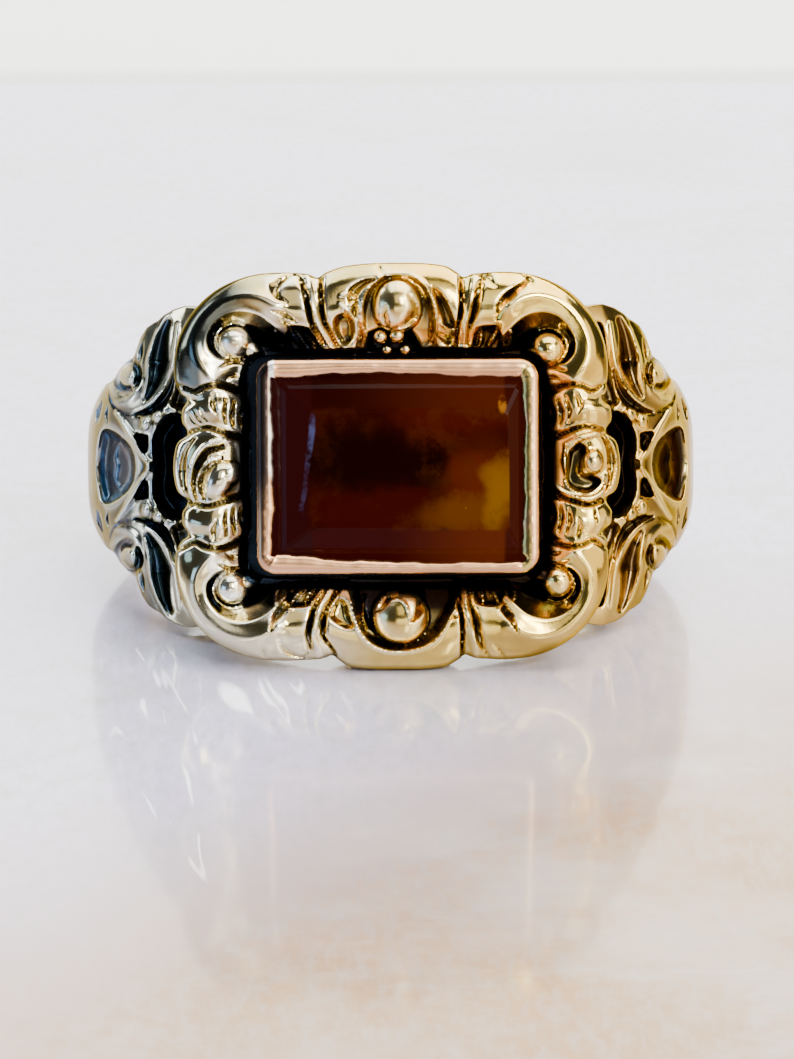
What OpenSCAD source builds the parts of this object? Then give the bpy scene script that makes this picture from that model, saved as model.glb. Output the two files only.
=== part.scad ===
// Gemstone ring lying on its side: cast gold hoop and scroll frame, rose gold box setting,
// step-cut stone. Millimetres. The head faces -Y and the back of the hoop rests low.

/* [Hoop] */
// Radius of the finger hole
bore_r = 9.1; // [7.5:0.05:11]
// Half width of the hoop at its back
back_half_w = 1.5; // [1:0.1:4]
// Thinnest wall left over the finger hole where the relief is cut
wall_min = 0.45; // [0.3:0.05:1.5]

/* [Head frame] */
// Height of the frame's crest from the hoop's axis
crest_h = 12.7; // [11:0.1:15]
// Height of the frame's outer rim
rim_h = 12.0; // [11:0.1:15]
// Height of the gutter beside the setting
gutter_h = 10.95; // [10.5:0.05:13]
// Height of the pocket's floor
floor_h = 10.4; // [9.6:0.05:12]

/* [Setting] */
// Outer width and depth of the box setting
bezel_w = 9.32; // [6:0.1:12]
bezel_d = 7.08; // [4:0.1:10]
// Height of the setting from the pocket's floor to its lip
bezel_tall = 2.75; // [1.5:0.05:4]
// Outer corner radius of the setting
bezel_corner = 0.65; // [0.2:0.05:2]
// Thickness of the wall beside the stone
bezel_wall = 0.3; // [0.2:0.05:1]
// Width of the lip turned over the stone
lip_w = 0.55; // [0.3:0.05:1.2]

/* [Stone] */
// Play between the stone's girdle and the wall
girdle_play = 0.05; // [0.02:0.01:0.2]
// Size of the stone's table
table_w = 6.3; // [3:0.1:9]
table_d = 3.9; // [2:0.1:7]
// How far the table was cut off the middle, to the right
table_shift = 0.35; // [-1:0.05:1]
// Height of the crown and depth of the pavilion
crown_t = 0.75; // [0.3:0.05:2]
pavilion_t = 1.35; // [0.5:0.05:3]

/* [Hidden] */

gold = [0.83, 0.64, 0.29];
rose = [0.86, 0.60, 0.50];
amber = [0.55, 0.16, 0.03];

// Half height of the head, and the contact points at rest: front edge of the head, back edge of the hoop
head_half = 6.75;
front_rest_y = 11.5;
front_rest_z = 6.705;
back_rest_y = 10.3;
lean = atan((front_rest_z - back_half_w) / (front_rest_y + back_rest_y));
lift = back_half_w * cos(lean) + back_rest_y * sin(lean);
shift_y = 1.82;

// One quadrant of the frame, from the middle of the top to the middle of the side.
// inner x, inner z, outer x, outer z
frame_rows = [
    [0.00, 3.72, 0.00, 6.75],
    [0.80, 3.72, 0.90, 6.74],
    [1.55, 3.72, 1.75, 6.64],
    [2.00, 3.72, 2.35, 6.44],
    [2.25, 3.72, 2.62, 6.28],
    [2.55, 3.72, 2.95, 6.40],
    [3.10, 3.72, 3.75, 6.45],
    [3.65, 3.72, 4.55, 6.38],
    [4.12, 3.72, 5.30, 6.15],
    [4.50, 3.64, 6.00, 5.75],
    [4.73, 3.45, 6.60, 5.15],
    [4.85, 3.20, 7.00, 4.45],
    [4.87, 2.95, 7.20, 3.70],
    [4.87, 2.62, 7.22, 3.00],
    [4.87, 2.32, 7.10, 2.48],
    [4.87, 2.08, 6.92, 2.24],
    [4.87, 1.80, 7.13, 1.92],
    [4.87, 1.48, 7.15, 1.50],
    [4.87, 1.15, 6.98, 1.15],
    [4.87, 0.80, 7.30, 0.82],
    [4.87, 0.40, 7.42, 0.40],
    [4.87, 0.00, 7.45, 0.00]];

// Relief of the head in one quadrant, raised or cut along short strokes.
// points as x and z, half width, height
head_strokes = [
    // swelling back of the corner scroll
    [[[6.0, 2.9], [6.5, 3.5], [6.6, 4.2], [6.3, 4.95], [5.7, 5.5], [5.0, 5.7], [4.4, 5.6], [3.9, 5.3]],
        0.34, 0.18],
    // hollow of the scroll, from its eye round to the setting
    [[[5.35, 3.45], [5.78, 3.75], [5.80, 4.2], [5.5, 4.66], [5.0, 4.82], [4.5, 4.62], [4.1, 4.3], [3.8, 3.9]],
        0.36, -0.75],
    // groove between the corner scroll and the ribbed leaf
    [[[4.95, 2.36], [5.8, 2.68], [6.6, 2.52], [7.3, 2.74]], 0.17, -0.50],
    // groove between the ribbed leaf and the side lobe
    [[[4.95, 0.96], [5.85, 1.18], [6.75, 1.20], [7.15, 1.02]], 0.16, -0.45],
    // double groove beside the palmette
    [[[2.52, 6.6], [2.5, 5.4], [2.4, 4.8], [1.9, 3.9]], 0.18, -0.50],
    [[[2.98, 6.3], [2.94, 5.2], [2.5, 4.1]], 0.15, -0.28],
    // punched crescent on the rim
    [[[3.3, 6.4], [3.85, 5.95], [3.65, 5.45]], 0.16, -0.25],
    // crescent channel round the palmette's bud
    [[[1.3, 4.3], [1.3, 4.9], [1.1, 5.5], [0.8, 5.95], [0.4, 6.2], [0, 6.26]], 0.22, -0.42],
    // scooped leaf beside the bud
    [[[1.5, 5.6], [1.9, 5.1], [2.0, 4.7]], 0.20, -0.30],
    // crescent of the side lobe
    [[[5.8, 0.9], [6.4, 0.75], [6.75, 0.35], [6.85, 0]], 0.17, -0.30]];

// Domes and hollows of the head in one quadrant.
// x, z, half width, half height, height
head_domes = [
    [5.20, 3.98, 0.60, 0.60, 0.95],
    [4.66, 3.74, 0.36, 0.28, 0.45],
    [0.00, 5.20, 0.95, 0.98, 0.50],
    [5.85, 0.00, 0.82, 0.66, 0.45],
    [6.15, 1.78, 1.00, 0.46, 0.20],
    [4.10, 3.95, 0.50, 0.50, -0.50]];

// Small beads below the upper dome: x, z, radius, height
seed_beads = [
    [-0.38, 4.22, 0.21, 11.50],
    [0.15, 4.28, 0.22, 11.60],
    [-0.20, 3.88, 0.18, 11.12],
    [0.40, 3.92, 0.18, 11.15]];

// Half of the hoop, from the head round to the back.
// angle, half width, outer radius, drop of the section at its edges
hoop_rows = [
    [0, 5.20, 10.20, 0.00],
    [20, 5.20, 10.85, 0.00],
    [33.5, 5.30, 11.25, 0.20],
    [37.5, 5.43, 11.34, 0.32],
    [40.4, 5.50, 11.38, 0.41],
    [43.9, 5.38, 11.38, 0.46],
    [46.6, 5.20, 11.38, 0.49],
    [48.4, 5.02, 11.36, 0.50],
    [49.5, 4.97, 11.35, 0.50],
    [52.0, 4.81, 11.31, 0.49],
    [54.3, 4.48, 11.28, 0.49],
    [55.9, 4.06, 11.26, 0.48],
    [56.4, 3.86, 11.25, 0.48],
    [57.6, 3.78, 11.23, 0.47],
    [60.7, 3.65, 11.18, 0.46],
    [64.3, 3.38, 11.14, 0.45],
    [67.1, 3.10, 11.11, 0.44],
    [68.7, 2.98, 11.10, 0.44],
    [71.1, 2.95, 11.08, 0.46],
    [77.0, 2.93, 11.02, 0.56],
    [83.0, 2.72, 10.99, 0.60],
    [90.0, 2.42, 10.96, 0.58],
    [104, 2.02, 10.86, 0.44],
    [120, 1.75, 10.76, 0.34],
    [150, 1.50, 10.62, 0.30],
    [180, back_half_w, 10.60, 0.30]];

// Relief of a shoulder as it shows from the front: points as x and z, half width, height
shoulder_strokes = [
    // gouged leaf: two troughs, and one under it
    [[[8.24, 5.0], [8.29, 4.0], [8.40, 3.4], [8.60, 2.9], [8.90, 2.45]], 0.24, -0.75],
    [[[8.70, 4.6], [8.86, 4.0], [9.00, 3.3]], 0.14, -0.40],
    [[[7.84, 3.4], [7.98, 2.86], [8.28, 2.40], [8.72, 2.08], [9.30, 1.90]], 0.17, -0.55],
    // slot beside the head
    [[[7.70, 5.4], [7.72, 4.0]], 0.13, -0.35],
    // arm of the forked ridge
    [[[9.00, 0.1], [9.30, 0.66], [9.60, 1.30], [9.88, 2.20]], 0.14, 0.24],
    // slit in the bud beyond the shield
    [[[10.30, 2.4], [10.42, 1.8], [10.49, 1.2]], 0.10, -0.45]];

// Beads, buds and hollows of a shoulder: x, z, half width, half height, height
shoulder_domes = [
    [9.40, 3.15, 0.42, 0.52, -0.50],
    [9.40, 3.12, 0.28, 0.30, 0.65],
    [8.50, 1.62, 0.34, 0.38, 0.35],
    [8.10, 0.00, 0.62, 1.40, -1.30],
    [7.80, 1.40, 0.40, 0.60, -0.80],
    [9.80, 0.00, 0.62, 1.40, -0.95]];

// The shoulders' drawing is scaled by how near to the eye each place lies
view_mm = 137;
view_back = 141;

// Distance from a point to a segment
function seg_dist(p, a, b) =
    let (ab = b - a, t = max(0, min(1, ((p - a) * ab) / (ab * ab))))
    norm(p - a - t * ab);

function stroke(p, pts, w, h) =
    let (d = min([for (i = [0:len(pts) - 2]) seg_dist(p, pts[i], pts[i + 1])]))
    d > 3 * w ? 0 : h * exp(-pow(d / w, 2));

function dome(p, q) =
    let (e = 1 - pow((p[0] - q[0]) / q[2], 2) - pow((p[1] - q[1]) / q[3], 2))
    e > 0 ? q[4] * pow(e, 0.7) : 0;

function sum(v, i = 0) = i < len(v) ? v[i] + sum(v, i + 1) : 0;

function relief(p, strokes, domes) =
    sum([for (s = strokes) stroke(p, s[0], s[1], s[2])]) + sum([for (q = domes) dome(p, q)]);

// Smooth curve through the rows of a table
function spline(a, b, c, d, t) =
    b + t / 2 * (c - a + t * (2 * a - 5 * b + 4 * c - d + t * (3 * (b - c) + d - a)));

function table_row(tab, angle, i = 0) =
    i >= len(tab) - 2 || angle < tab[i + 1][0]
    ? tab[i] + (tab[i + 1] - tab[i]) * (angle - tab[i][0]) / (tab[i + 1][0] - tab[i][0])
    : table_row(tab, angle, i + 1);

// Frame: stations around the setting, rows from the pocket over the crest and down to the hoop
steps = 2;
last = len(frame_rows) - 1;
function mirrored(r, x, z) = [r[0] * x, r[1] * z, r[2] * x, r[3] * z];
function row_at(i) =
    i < 0 ? mirrored(frame_rows[-i], -1, 1)
    : i > last ? mirrored(frame_rows[2 * last - i], 1, -1)
    : frame_rows[i];
quarter = [for (i = [0:last - 1], k = [0:steps - 1])
    spline(row_at(i - 1), row_at(i), row_at(i + 1), row_at(i + 2), k / steps)];
half_turn = concat(quarter, [frame_rows[last]],
    [for (i = [len(quarter) - 1:-1:1]) mirrored(quarter[i], 1, -1)]);
stations = concat(half_turn, [for (s = half_turn) -s]);

// The face of the frame bows back at the sides, as the finger does
bow = 0.008;

// Depth of the smooth band under the relief: 0 at the gutter, 1 at the rim
band_t = [0, 0.08, 0.17, 0.26, 0.34, 0.42, 0.50, 0.58, 0.66, 0.74, 0.82, 0.90, 0.96, 1];
function band(t) =
    t < 0.58 ? gutter_h + (crest_h - gutter_h) * sin(90 * max(0, min(1, (t - 0.06) / 0.5)))
    : crest_h - (crest_h - rim_h) * (1 - sqrt(1 - pow((t - 0.58) / 0.422, 2)));

// Below the rim: share of the way from the setting's edge to the rim, height
wall_rows = [[0.985, 11.5], [0.86, 10.6], [0.62, 9.75]];
base_r = 9.75;
cap_share = 0.5;
pocket_skin = 0.35;

function lerp2(s, t) = [s[0] + (s[2] - s[0]) * t, s[1] + (s[3] - s[1]) * t];
function under(p) = -sqrt(base_r * base_r - min(p[0] * p[0], 60));

frame_top = [for (t = band_t) [for (s = stations)
    let (p = lerp2(s, t), r = relief([abs(p[0]), abs(p[1])], head_strokes, head_domes))
    [p[0], -max(floor_h + pocket_skin, band(t) - bow * p[0] * p[0] + r * min(1, t * 8)), p[1]]]];
frame_wall = [for (w = wall_rows) [for (s = stations)
    let (p = lerp2(s, w[0])) [p[0], w[1] > base_r ? -w[1] : under(p), p[1]]]];
frame_cap = [[for (s = stations)
    let (p = lerp2(s, wall_rows[2][0]) * cap_share) [p[0], under(p), p[1]]]];
frame_floor = [for (s = stations) [s[0], -floor_h, s[1]]];

// A quad of the skin as two triangles, cut along its shorter diagonal so that ridges stay whole
function halves(p, a, b, c, d) =
    norm(p[a] - p[c]) < norm(p[b] - p[d]) ? [[a, b, c], [a, c, d]] : [[a, b, d], [b, c, d]];

// Closed skin over rings of points, each end closed by a middle point
module skin(rings, first, final) {
    n = len(rings[0]);
    m = len(rings);
    pts = concat([first], [for (r = rings, p = r) p], [final]);
    polyhedron(
        points = pts,
        faces = concat(
            [for (i = [0:n - 1]) [0, 1 + i, 1 + (i + 1) % n]],
            [for (j = [0:m - 2], i = [0:n - 1])
                let (a = 1 + j * n + i, b = 1 + j * n + (i + 1) % n)
                each halves(pts, a + n, b + n, b, a)],
            [for (i = [0:n - 1]) [m * n + 1, 1 + (m - 1) * n + (i + 1) % n, 1 + (m - 1) * n + i]]));
}

module frame() {
    skin(concat([frame_floor], frame_top, frame_wall, frame_cap),
        [0, -floor_h, 0], [0, -base_r, 0]);
}

module beads() {
    for (b = seed_beads)
        translate([b[0], -b[3], b[1]])
            sphere(b[2], $fn = 10);
}

// Hoop: sections across the band at each angle
worked = [38, 76];
half_angles = concat([0, 20, 34], [for (a = [worked[0]:1.65:worked[1]]) a],
    [80, 85, 90, 100, 112, 124, 136, 147, 158, 169]);
hoop_angles = concat(half_angles, [180], [for (i = [len(half_angles) - 1:-1:1]) 360 - half_angles[i]]);
columns = 18;
across = [for (k = [-columns:columns]) k / columns];

// The relief is cut back along the line of sight, and never nearer to the finger than the wall allows
function hoop_point(angle, v) =
    let (a = angle > 180 ? 360 - angle : angle,
        row = table_row(hoop_rows, a),
        z = v * row[1],
        rad = row[2] - row[3] * pow(abs(v), 4),
        x = rad * sin(angle),
        y = -rad * cos(angle),
        near = view_mm / (view_back + y),
        cut = a > worked[0] - 2 && a < 84
            ? relief([abs(x), abs(z)] * near, shoulder_strokes, shoulder_domes) * min(1, (a - worked[0] + 2) / 4)
            : 0,
        wall = bore_r + wall_min)
    [x, y < 0 ? min(y - cut, -sqrt(max(0, wall * wall - x * x))) : y, z];

function hoop_side(angle, v, r, inset) =
    let (row = table_row(hoop_rows, angle > 180 ? 360 - angle : angle))
    [r * sin(angle), -r * cos(angle), v * (row[1] - inset)];

module hoop() {
    m = len(across) + 4;
    n = len(hoop_angles);
    sections = [for (a = hoop_angles) concat(
        [hoop_side(a, -1, bore_r - 0.3, 0.35), hoop_side(a, -1, bore_r + 0.35, 0.05)],
        [for (v = across) hoop_point(a, v)],
        [hoop_side(a, 1, bore_r + 0.35, 0.05), hoop_side(a, 1, bore_r - 0.3, 0.35)])];
    pts = [for (s = sections, p = s) p];
    polyhedron(
        points = pts,
        faces = [for (i = [0:n - 1], j = [0:m - 1])
            let (a = i * m + j, b = i * m + (j + 1) % m,
                c = ((i + 1) % n) * m + (j + 1) % m, d = ((i + 1) % n) * m + j)
            each halves(pts, a, b, c, d)]);
}

// Places the ring as it lies, leaning back until the head's edge and the hoop's back both touch
module lying() {
    translate([0, shift_y, lift])
        rotate([-lean, 0, 0])
            children();
}

module ring_body() {
    color(gold)
        lying()
            difference() {
                resize([0, 0, 2 * head_half])
                    union() {
                        hoop();
                        frame();
                        beads();
                    }
                cylinder(h = 40, r = bore_r, center = true, $fn = 120);
            }
}

module rounded_box(w, d, h, r) {
    translate([0, -h, 0])
        rotate([-90, 0, 0])
            linear_extrude(h)
                union() {
                    square([w - 2 * r, d], center = true);
                    square([w, d - 2 * r], center = true);
                    for (x = [-1, 1], y = [-1, 1])
                        translate([x * (w / 2 - r), y * (d / 2 - r)])
                            circle(r, $fn = 24);
                }
}

// Straight-sided frustum facing -Y between two rectangles
module taper(w0, d0, h0, w1, d1, h1) {
    polyhedron(
        points = [for (q = [[w0, d0, h0], [w1, d1, h1]], c = [[-1, -1], [1, -1], [1, 1], [-1, 1]])
            [c[0] * q[0] / 2, -q[2], c[1] * q[1] / 2]],
        faces = [[0, 1, 2, 3], [7, 6, 5, 4], [0, 4, 5, 1], [1, 5, 6, 2], [2, 6, 7, 3], [3, 7, 4, 0]]);
}

// Heights inside the setting, and the steps of its hollow from the girdle inwards
girdle_h = floor_h + bezel_tall - 0.55;
bezel_back = 0.45;
seat_play = 0.05;
girdle_t = 0.06;
girdle_w = bezel_w - 2 * bezel_wall;
girdle_d = bezel_d - 2 * bezel_wall;
stone_w = girdle_w - 2 * girdle_play;
stone_d = girdle_d - 2 * girdle_play;
ledge = 0.35;
pocket_in = 1.1;
lip_in_w = bezel_w - 2 * lip_w;
lip_in_d = bezel_d - 2 * lip_w;

module bezel() {
    color(rose)
        lying()
            difference() {
                translate([0, -floor_h, 0])
                    rounded_box(bezel_w, bezel_d, bezel_tall, bezel_corner);
                // hollow under the stone
                taper(stone_w - 2 * pocket_in, stone_d - 2 * pocket_in, floor_h + bezel_back,
                    stone_w - 2 * ledge, stone_d - 2 * ledge, girdle_h - ledge);
                // seat for the girdle
                taper(stone_w - 2 * ledge, stone_d - 2 * ledge, girdle_h - ledge,
                    girdle_w, girdle_d, girdle_h - seat_play);
                taper(girdle_w, girdle_d, girdle_h - seat_play,
                    girdle_w, girdle_d, girdle_h + 0.15);
                // lip turned over the crown
                taper(girdle_w, girdle_d, girdle_h + 0.15,
                    lip_in_w, lip_in_d, girdle_h + ledge);
                taper(lip_in_w, lip_in_d, girdle_h + ledge,
                    lip_in_w, lip_in_d, floor_h + bezel_tall + 0.1);
            }
}

// Step-cut stone: cut corners, table, two steps of crown and two of pavilion
// width, depth, height from the girdle, shift to the right
stone_rows = [
    [stone_w * 0.30, stone_d * 0.16, -pavilion_t, 0],
    [stone_w * 0.72, stone_d * 0.62, -pavilion_t * 0.7, 0],
    [stone_w, stone_d, -girdle_t, 0],
    [stone_w, stone_d, girdle_t, 0],
    [(stone_w + table_w) / 2 + 0.15, (stone_d + table_d) / 2 + 0.15, crown_t * 0.62, table_shift * 0.4],
    [table_w, table_d, crown_t, table_shift]];
corner_cut = 0.12;

module stone() {
    rings = [for (r = stone_rows)
        let (a = r[0] / 2, b = r[1] / 2, c = corner_cut)
        [for (q = [[-a + c, -b], [a - c, -b], [a, -b + c], [a, b - c], [a - c, b], [-a + c, b],
            [-a, b - c], [-a, -b + c]]) [q[0] + r[3], -(girdle_h + r[2]), q[1]]]];
    n = 8;
    m = len(rings);
    color(amber)
        lying()
            polyhedron(
                points = [for (r = rings, p = r) p],
                faces = concat(
                    [[for (i = [0:n - 1]) i]],
                    [for (j = [0:m - 2], i = [0:n - 1])
                        [j * n + i, (j + 1) * n + i, (j + 1) * n + (i + 1) % n, j * n + (i + 1) % n]],
                    [[for (i = [n - 1:-1:0]) (m - 1) * n + i]]));
}

ring_body();
bezel();
stone();
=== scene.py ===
import math
import bpy
import numpy as np
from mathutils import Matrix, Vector


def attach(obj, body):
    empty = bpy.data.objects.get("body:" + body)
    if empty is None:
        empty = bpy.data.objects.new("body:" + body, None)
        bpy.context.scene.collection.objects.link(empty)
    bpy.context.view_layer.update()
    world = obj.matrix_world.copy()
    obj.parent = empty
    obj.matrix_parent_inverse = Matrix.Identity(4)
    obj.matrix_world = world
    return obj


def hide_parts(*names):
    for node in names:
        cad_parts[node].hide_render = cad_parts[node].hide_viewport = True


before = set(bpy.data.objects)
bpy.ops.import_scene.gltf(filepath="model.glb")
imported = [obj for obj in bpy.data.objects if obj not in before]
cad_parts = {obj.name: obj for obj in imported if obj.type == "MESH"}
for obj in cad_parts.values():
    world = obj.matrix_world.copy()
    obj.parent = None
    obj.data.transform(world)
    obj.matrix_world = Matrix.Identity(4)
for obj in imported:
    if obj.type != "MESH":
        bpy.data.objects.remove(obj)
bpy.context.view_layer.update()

# Sizes in millimetres, in the ring's own frame: the finger's axis is Z and the head faces -Y
BORE_R = 9.1
BACK_HALF_W = 1.5
CREST_H = 12.7
BAND_H = 12.25
RIM_H = 12.0
GUTTER_H = 10.9
FLOOR_H = 10.4
LOWEST_CUT_H = FLOOR_H + 0.3
BASE_R = 9.75
LEAST_WALL = 0.45
BOW = 0.008
BEZEL_W, BEZEL_D, BEZEL_TALL, BEZEL_CORNER = 9.32, 7.08, 2.75, 0.65
STONE_W, STONE_D = 8.62, 6.38
TABLE_W, TABLE_D, TABLE_SHIFT, TABLE_DROP = 6.42, 3.8, 0.40, 0.12
GIRDLE_H, CROWN_T, PAVILION_T = 12.6, 0.75, 1.35
LIP_ROUND, LIP_RISE = 0.275, 0.22

# How it lies: the head's lower edge and the back of the hoop touch the floor
HEAD_EDGE_Z, HEAD_EDGE_H, BACK_R = 6.705, 11.5, 10.3
LEAN = math.atan((HEAD_EDGE_Z - BACK_HALF_W) / (HEAD_EDGE_H + BACK_R))
LIFT = BACK_HALF_W * math.cos(LEAN) + BACK_R * math.sin(LEAN)
SHIFT_Y = 1.82
MM = 0.001

FRAME_AROUND, FRAME_ACROSS = ((226, 78))
HOOP_STEP, HOOP_ACROSS = ((0.29, 175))

# Degrees round the finger from the head between which the shoulder is worked
WORKED_FROM, WORKED_TO = 34, 86


def lying(p):
    """Own frame in millimetres to the floor's frame in metres."""
    c, s = math.cos(LEAN), math.sin(LEAN)
    return np.stack([p[..., 0], p[..., 1] * c + p[..., 2] * s + SHIFT_Y,
                     p[..., 2] * c - p[..., 1] * s + LIFT], axis=-1) * MM


# Outline of the frame in one quadrant: inner x, inner z, outer x, outer z
FRAME_ROWS = np.array([
    [0.00, 3.72, 0.00, 6.75],
    [0.80, 3.72, 0.90, 6.74],
    [1.55, 3.72, 1.75, 6.64],
    [2.00, 3.72, 2.35, 6.44],
    [2.25, 3.72, 2.62, 6.28],
    [2.55, 3.72, 2.95, 6.40],
    [3.10, 3.72, 3.75, 6.45],
    [3.65, 3.72, 4.55, 6.38],
    [4.12, 3.72, 5.30, 6.15],
    [4.50, 3.64, 6.00, 5.75],
    [4.73, 3.45, 6.60, 5.15],
    [4.85, 3.20, 7.00, 4.45],
    [4.87, 2.95, 7.20, 3.70],
    [4.87, 2.62, 7.22, 3.00],
    [4.87, 2.32, 7.10, 2.48],
    [4.87, 2.08, 6.92, 2.24],
    [4.87, 1.80, 7.13, 1.92],
    [4.87, 1.48, 7.15, 1.50],
    [4.87, 1.15, 6.98, 1.15],
    [4.87, 0.80, 7.30, 0.82],
    [4.87, 0.40, 7.42, 0.40],
    [4.87, 0.00, 7.45, 0.00]])

# Half of the hoop: angle, half width, outer radius, drop of the section at its edges
HOOP_ROWS = np.array([
    [0, 5.20, 10.20, 0.00],
    [20, 5.20, 10.85, 0.00],
    [33.5, 5.30, 11.25, 0.20],
    [37.5, 5.43, 11.34, 0.32],
    [40.4, 5.50, 11.38, 0.41],
    [43.9, 5.38, 11.38, 0.46],
    [46.6, 5.20, 11.38, 0.49],
    [48.4, 5.02, 11.36, 0.50],
    [49.5, 4.97, 11.35, 0.50],
    [52.0, 4.81, 11.31, 0.49],
    [54.3, 4.48, 11.28, 0.49],
    [55.9, 4.06, 11.26, 0.48],
    [56.4, 3.86, 11.25, 0.48],
    [57.6, 3.78, 11.23, 0.47],
    [60.7, 3.65, 11.18, 0.46],
    [64.3, 3.38, 11.14, 0.45],
    [67.1, 3.10, 11.11, 0.44],
    [68.7, 2.98, 11.10, 0.44],
    [71.1, 2.95, 11.08, 0.46],
    [77.0, 2.93, 11.02, 0.56],
    [83.0, 2.72, 10.99, 0.60],
    [90.0, 2.42, 10.96, 0.58],
    [104, 2.02, 10.86, 0.44],
    [120, 1.75, 10.76, 0.34],
    [150, 1.50, 10.62, 0.30],
    [180, 1.50, 10.60, 0.30]])


def through(rows, steps):
    """A smooth curve through all rows but the first and the last, which only steer it."""
    t = np.linspace(0, 1, steps, endpoint=False)[:, None]
    spans = [0.5 * (2 * b + (c - a) * t + (2 * a - 5 * b + 4 * c - d) * t ** 2
                    + (3 * (b - c) + d - a) * t ** 3)
             for a, b, c, d in zip(rows[:-3], rows[1:-2], rows[2:-1], rows[3:])]
    return np.vstack(spans + [rows[-2:-1]])


def smooth_curve(points, steps=6):
    """A smooth curve through a few given points."""
    p = np.array(points, float)
    return through(np.vstack([2 * p[0] - p[1], p, 2 * p[-1] - p[-2]]), steps)


def smooth_outline(points):
    """The same for a closed outline, with its end left off."""
    return smooth_curve(list(points) + list(points[:1]), 4)[:-1]


def beside(p, points):
    """Distance of every point from a curve, how far along it lies from 0 to 1, and on which side."""
    seg = np.linalg.norm(np.diff(points, axis=0), axis=1)
    start = np.concatenate([[0], np.cumsum(seg)])
    best = np.full(len(p), 1e9)
    along = np.zeros(len(p))
    side = np.ones(len(p))
    for k, (a, b) in enumerate(zip(points[:-1], points[1:])):
        ab = b - a
        ap = p - a
        t = np.clip((ap @ ab) / (ab @ ab + 1e-12), 0, 1)
        d = np.linalg.norm(ap - t[:, None] * ab, axis=1)
        near = d < best
        best[near] = d[near]
        along[near] = (start[k] + t[near] * seg[k]) / start[-1]
        side[near] = np.sign(ab[0] * ap[near, 1] - ab[1] * ap[near, 0])
    return best, along, side


def inside_depth(p, outline):
    """How deep each point lies inside a closed outline; negative outside."""
    q = np.vstack([outline, outline[:1]])
    d = beside(p, q)[0]
    odd = np.zeros(len(p), bool)
    for (x0, z0), (x1, z1) in zip(q[:-1], q[1:]):
        if z0 == z1:
            continue
        spans = (z0 > p[:, 1]) != (z1 > p[:, 1])
        odd ^= spans & (p[:, 0] < (x1 - x0) * (p[:, 1] - z0) / (z1 - z0) + x0)
    return np.where(odd, d, -d)


def ease(t):
    """A soft step from 0 to 1."""
    t = np.clip(t, 0, 1)
    return t * t * (3 - 2 * t)


def stroke_profile(kind, e, side):
    """Section across a stroke, from its middle at e = 0 to its edge at e = 1; hollows are negative."""
    u = np.clip(1 - e * e, 0, 1)
    if kind == "gouge":
        return -u
    if kind == "vee":
        return -np.clip(1 - e, 0, 1)
    if kind == "wire":
        return u ** 0.7
    if kind == "swell":
        return np.exp(-e * e)
    s = np.clip(e, 0, 1) * side
    return -np.clip(np.minimum((1 + s) / 1.75, (1 - s) / 0.25), 0, 1)


def carve(h, p, forms):
    """Works the relief into heights h at points p, one form after another."""
    for form in forms:
        kind, pts = form[0], np.array(form[1], float)
        if kind == "dome":
            (rx, rz), turn, top, rise = form[2:]
            c, s = math.cos(math.radians(turn)), math.sin(math.radians(turn))
            dx, dz = p[:, 0] - pts[0], p[:, 1] - pts[1]
            e = ((dx * c + dz * s) / rx) ** 2 + ((dz * c - dx * s) / rz) ** 2
            h = np.where(e < 1, np.maximum(h, top - rise * (1 - np.sqrt(np.clip(1 - e, 0, 1)))), h)
            continue
        if kind == "boss":
            (rx, rz), rise = form[2:]
            e = ((p[:, 0] - pts[0]) / rx) ** 2 + ((p[:, 1] - pts[1]) / rz) ** 2
            h = h + rise * np.clip(1 - e, 0, 1) ** 0.8
            continue
        reach = 0.02 if kind == "pit" else max(form[2]) * (3 if kind == "swell" else 1)
        near = np.all((p > pts.min(0) - reach - 0.1) & (p < pts.max(0) + reach + 0.1), axis=1)
        if not near.any():
            continue
        if kind == "pit":
            depth, wall = form[2:]
            u = np.clip(inside_depth(p[near], smooth_outline(pts)) / wall, 0, 1)
            h[near] -= depth * (1 - (1 - u) ** 2)
        else:
            widths, depth = form[2:]
            d, along, side = beside(p[near], smooth_curve(pts))
            w = np.interp(along, [0, 0.5, 1], widths)
            h[near] += depth * w / max(widths) * stroke_profile(kind, d / w, side)
    return h


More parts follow.
